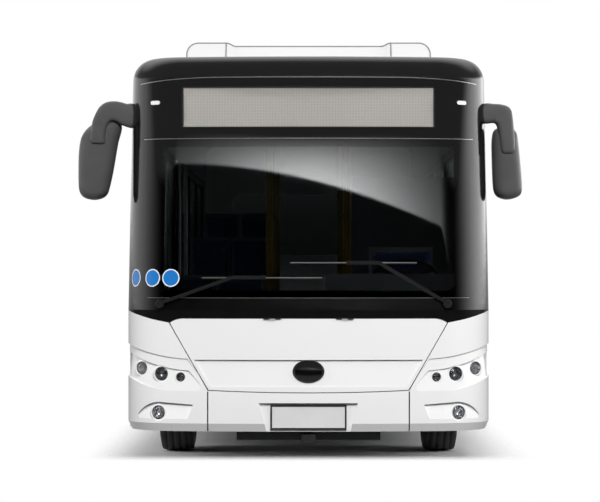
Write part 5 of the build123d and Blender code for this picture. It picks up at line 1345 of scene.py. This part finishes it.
def roof_bolts():
    meshes = []
    for low, high in islands("roof_units"):
        count = int((high.y - low.y - BOLT_SPARE) / BOLT_PITCH)
        for side in SIDES:
            place = Matrix.Translation((side * (high.x - BOLT_IN), low.y + BOLT_START, low.z + BOLT_LIFT))
            place = place @ Matrix.Rotation(pi / 2, 4, "Z") @ Matrix.Rotation(-side * pi / 2, 4, "X")
            meshes.append(grown(BOLT_ROW, {"Count": count, **BOLT_SIZES}, SATIN_AND_SHEEN, place))
    finished("roof_unit_bolts", joined("roof_unit_bolts", meshes), SATIN_AND_SHEEN, smooth=False)


roof_units()
roof_bolts()

# Stage: white floor, soft lamps, white surroundings
CAMERA_DISTANCE, CAMERA_Z, CAMERA_LENS, SENSOR_W, CAMERA_REACH = 17.0, 1.43, 147.9, 36.0, 200.0
PRINCIPAL_POINT, IMAGE = (308.5, 271.0), (600, 502)
# Floor's half size, and where its shadow fades out and is whole: past the sides, the nose and the tail
FLOOR_HALF, SIDE_FADE, NOSE_FADE, TAIL_FADE = 30.0, (0.5, -0.05), (1.5, 2.2), (1.5, 0.0)
# Soft lamps: (name, place, aim, size, power)
SOFT_LAMPS = (("front_key", (1.5, -17.0, 8.2), (0.0, -5.0, 1.2), 5.0, 1700.0),
              ("left_fill", (12.0, -6.5, 6.0), (0.0, -1.0, 1.0), 8.0, 700.0),
              ("right_fill", (-12.0, -6.5, 6.0), (0.0, -1.0, 1.0), 8.0, 760.0),
              ("rear_fill", (-3.0, 18.0, 6.0), (0.0, 5.0, 1.2), 6.0, 900.0))
AMBIENT, AMBIENT_FULL_Z = 0.4, 0.4
# Softbox seen in the windscreen: its lower edge over the sideways direction, its top,
# its middle and its level
BOX_LOW, BOX_SLOPE, BOX_BEND, BOX_HIGH, BOX_EDGE = 0.1928, -0.0354, -0.093, 0.211, 0.0015
BOX_X, BOX_SPREAD, BOX_DEPTH, BOX_LEVEL, BOX_AHEAD = -0.015, 0.155, 0.0175, 9.5, (-0.3, -0.6)
BACKDROP, SIDE_WALLS, RIGHT_WALL, REAR_WALL, CEILING, GROUND = 0.3, 1.5, 3.6, 0.8, 1.3, 0.5
BACKDROP_BEND = 0.06


def stage_floor():
    """Pale floor that keeps the shadow under the bus and fades into the white round it."""
    shape = bmesh.new()
    bmesh.ops.create_grid(shape, x_segments=1, y_segments=1, size=FLOOR_HALF)
    mesh = bpy.data.meshes.new("studio_floor")
    shape.to_mesh(mesh)
    shape.free()
    floor = bpy.data.objects.new("studio_floor", mesh)
    bpy.context.scene.collection.objects.link(floor)
    material, tree, shader = start_material("studio_floor", Roughness=0.9, Specular_IOR_Level=0.1)
    tone = mixed(tree, grain(tree, 3.0, 2.0), grey(0.8), grey(0.82))
    x, y, _ = axes_of(tree, own_place(tree))
    fades = ((maths(tree, "ABSOLUTE", x), HALF, SIDE_FADE), (y, NOSE_Y, NOSE_FADE), (y, TAIL_Y, TAIL_FADE))
    fade = times(tree, *(ramped(tree, axis, end + gone, end + whole) for axis, end, (gone, whole) in fades))
    link(tree, (tone, shader.inputs["Base Color"]), (fade, shader.inputs["Alpha"]))
    mesh.materials.append(material)


def softbox(tree, x, y, z, aside):
    """Level of the softbox's band in a direction; aside is the square of its way from the middle."""
    bend = times(tree, x, maths(tree, "ADD", times(tree, x, BOX_BEND), BOX_SLOPE))
    rise = maths(tree, "SUBTRACT", z, maths(tree, "ADD", bend, BOX_LOW))
    fall = times(tree, maths(tree, "SUBTRACT", BOX_HIGH, z), 1.0 / BOX_DEPTH)
    bell = maths(tree, "EXPONENT", times(tree, aside, -0.5 / BOX_SPREAD ** 2))
    ahead = ramped(tree, y, *BOX_AHEAD)
    return times(tree, ramped(tree, rise, 0.0, BOX_EDGE), fall, bell, BOX_LEVEL, ahead)


def surroundings():
    """White for the camera; reflections see a softbox band, grey sides and a bright ceiling."""
    world = bpy.data.worlds.new("studio")
    bpy.context.scene.world = world
    world.use_nodes = True
    tree = world.node_tree
    x, y, z = axes_of(tree, tree.nodes.new("ShaderNodeTexCoord").outputs["Generated"])
    path = tree.nodes.new("ShaderNodeLightPath").outputs
    aside = maths(tree, "POWER", maths(tree, "SUBTRACT", x, BOX_X), 2.0)
    level = softbox(tree, x, y, z, aside)
    raised = maths(tree, "ADD", z, times(tree, aside, BACKDROP_BEND))
    # Each wall: its strength and its ramps of (axis, where it starts, where it is whole)
    low_band = ((z, 0.0, 0.05), (z, 0.2, 0.15))
    for strength, *ramps in ((BACKDROP, (raised, 0.2, 0.21)),
                             (SIDE_WALLS, (y, -0.75, 0.3), *low_band),
                             (RIGHT_WALL, (x, 0.3, 0.6), (y, -0.75, 0.3), *low_band),
                             (REAR_WALL, (y, 0.4, 0.9), (z, -0.1, 0.1)),
                             (CEILING, (y, -0.15, 0.5), (z, 0.25, 0.7)),
                             (GROUND, (z, -0.01, -0.1))):
        wall = times(tree, strength, *(ramped(tree, *limits) for limits in ramps))
        level = maths(tree, "MAXIMUM", level, wall)
    reflected = new_node(tree, "ShaderNodeCombineColor", Red=level, Green=level, Blue=level)
    mirrored = maths(tree, "MAXIMUM", path["Is Glossy Ray"], path["Is Transmission Ray"])
    ambient = mixed(tree, ramped(tree, z, 0.0, AMBIENT_FULL_Z), grey(0.0), grey(AMBIENT))
    lit = mixed(tree, mirrored, ambient, reflected.outputs["Color"])
    seen = mixed(tree, path["Is Camera Ray"], lit, grey(1.0))
    link(tree, (seen, tree.nodes["Background"].inputs["Color"]))


def soft_lamp(name, place, aim, size, power):
    data = bpy.data.lights.new(name, "AREA")
    data.shape = "DISK"
    data.size = size
    data.energy = power
    lamp = bpy.data.objects.new(name, data)
    lamp.location = place
    lamp.visible_glossy = False
    lamp.rotation_euler = (Vector(aim) - Vector(place)).to_track_quat("-Z", "Y").to_euler()
    bpy.context.scene.collection.objects.link(lamp)


def camera():
    data = bpy.data.cameras.new("photo_camera")
    data.lens = CAMERA_LENS
    data.sensor_width = SENSOR_W
    data.shift_x = (IMAGE[0] / 2 - PRINCIPAL_POINT[0]) / IMAGE[0]
    data.shift_y = (PRINCIPAL_POINT[1] - IMAGE[1] / 2) / IMAGE[0]
    data.clip_end = CAMERA_REACH
    seen = bpy.data.objects.new("photo_camera", data)
    seen.location = (0.0, NOSE_Y - CAMERA_DISTANCE, CAMERA_Z)
    seen.rotation_euler = (pi / 2, 0.0, 0.0)
    bpy.context.scene.collection.objects.link(seen)
    bpy.context.scene.camera = seen


stage_floor()
surroundings()
for lamp_row in SOFT_LAMPS:
    soft_lamp(*lamp_row)
camera()
bpy.context.scene.view_settings.view_transform = "Standard"
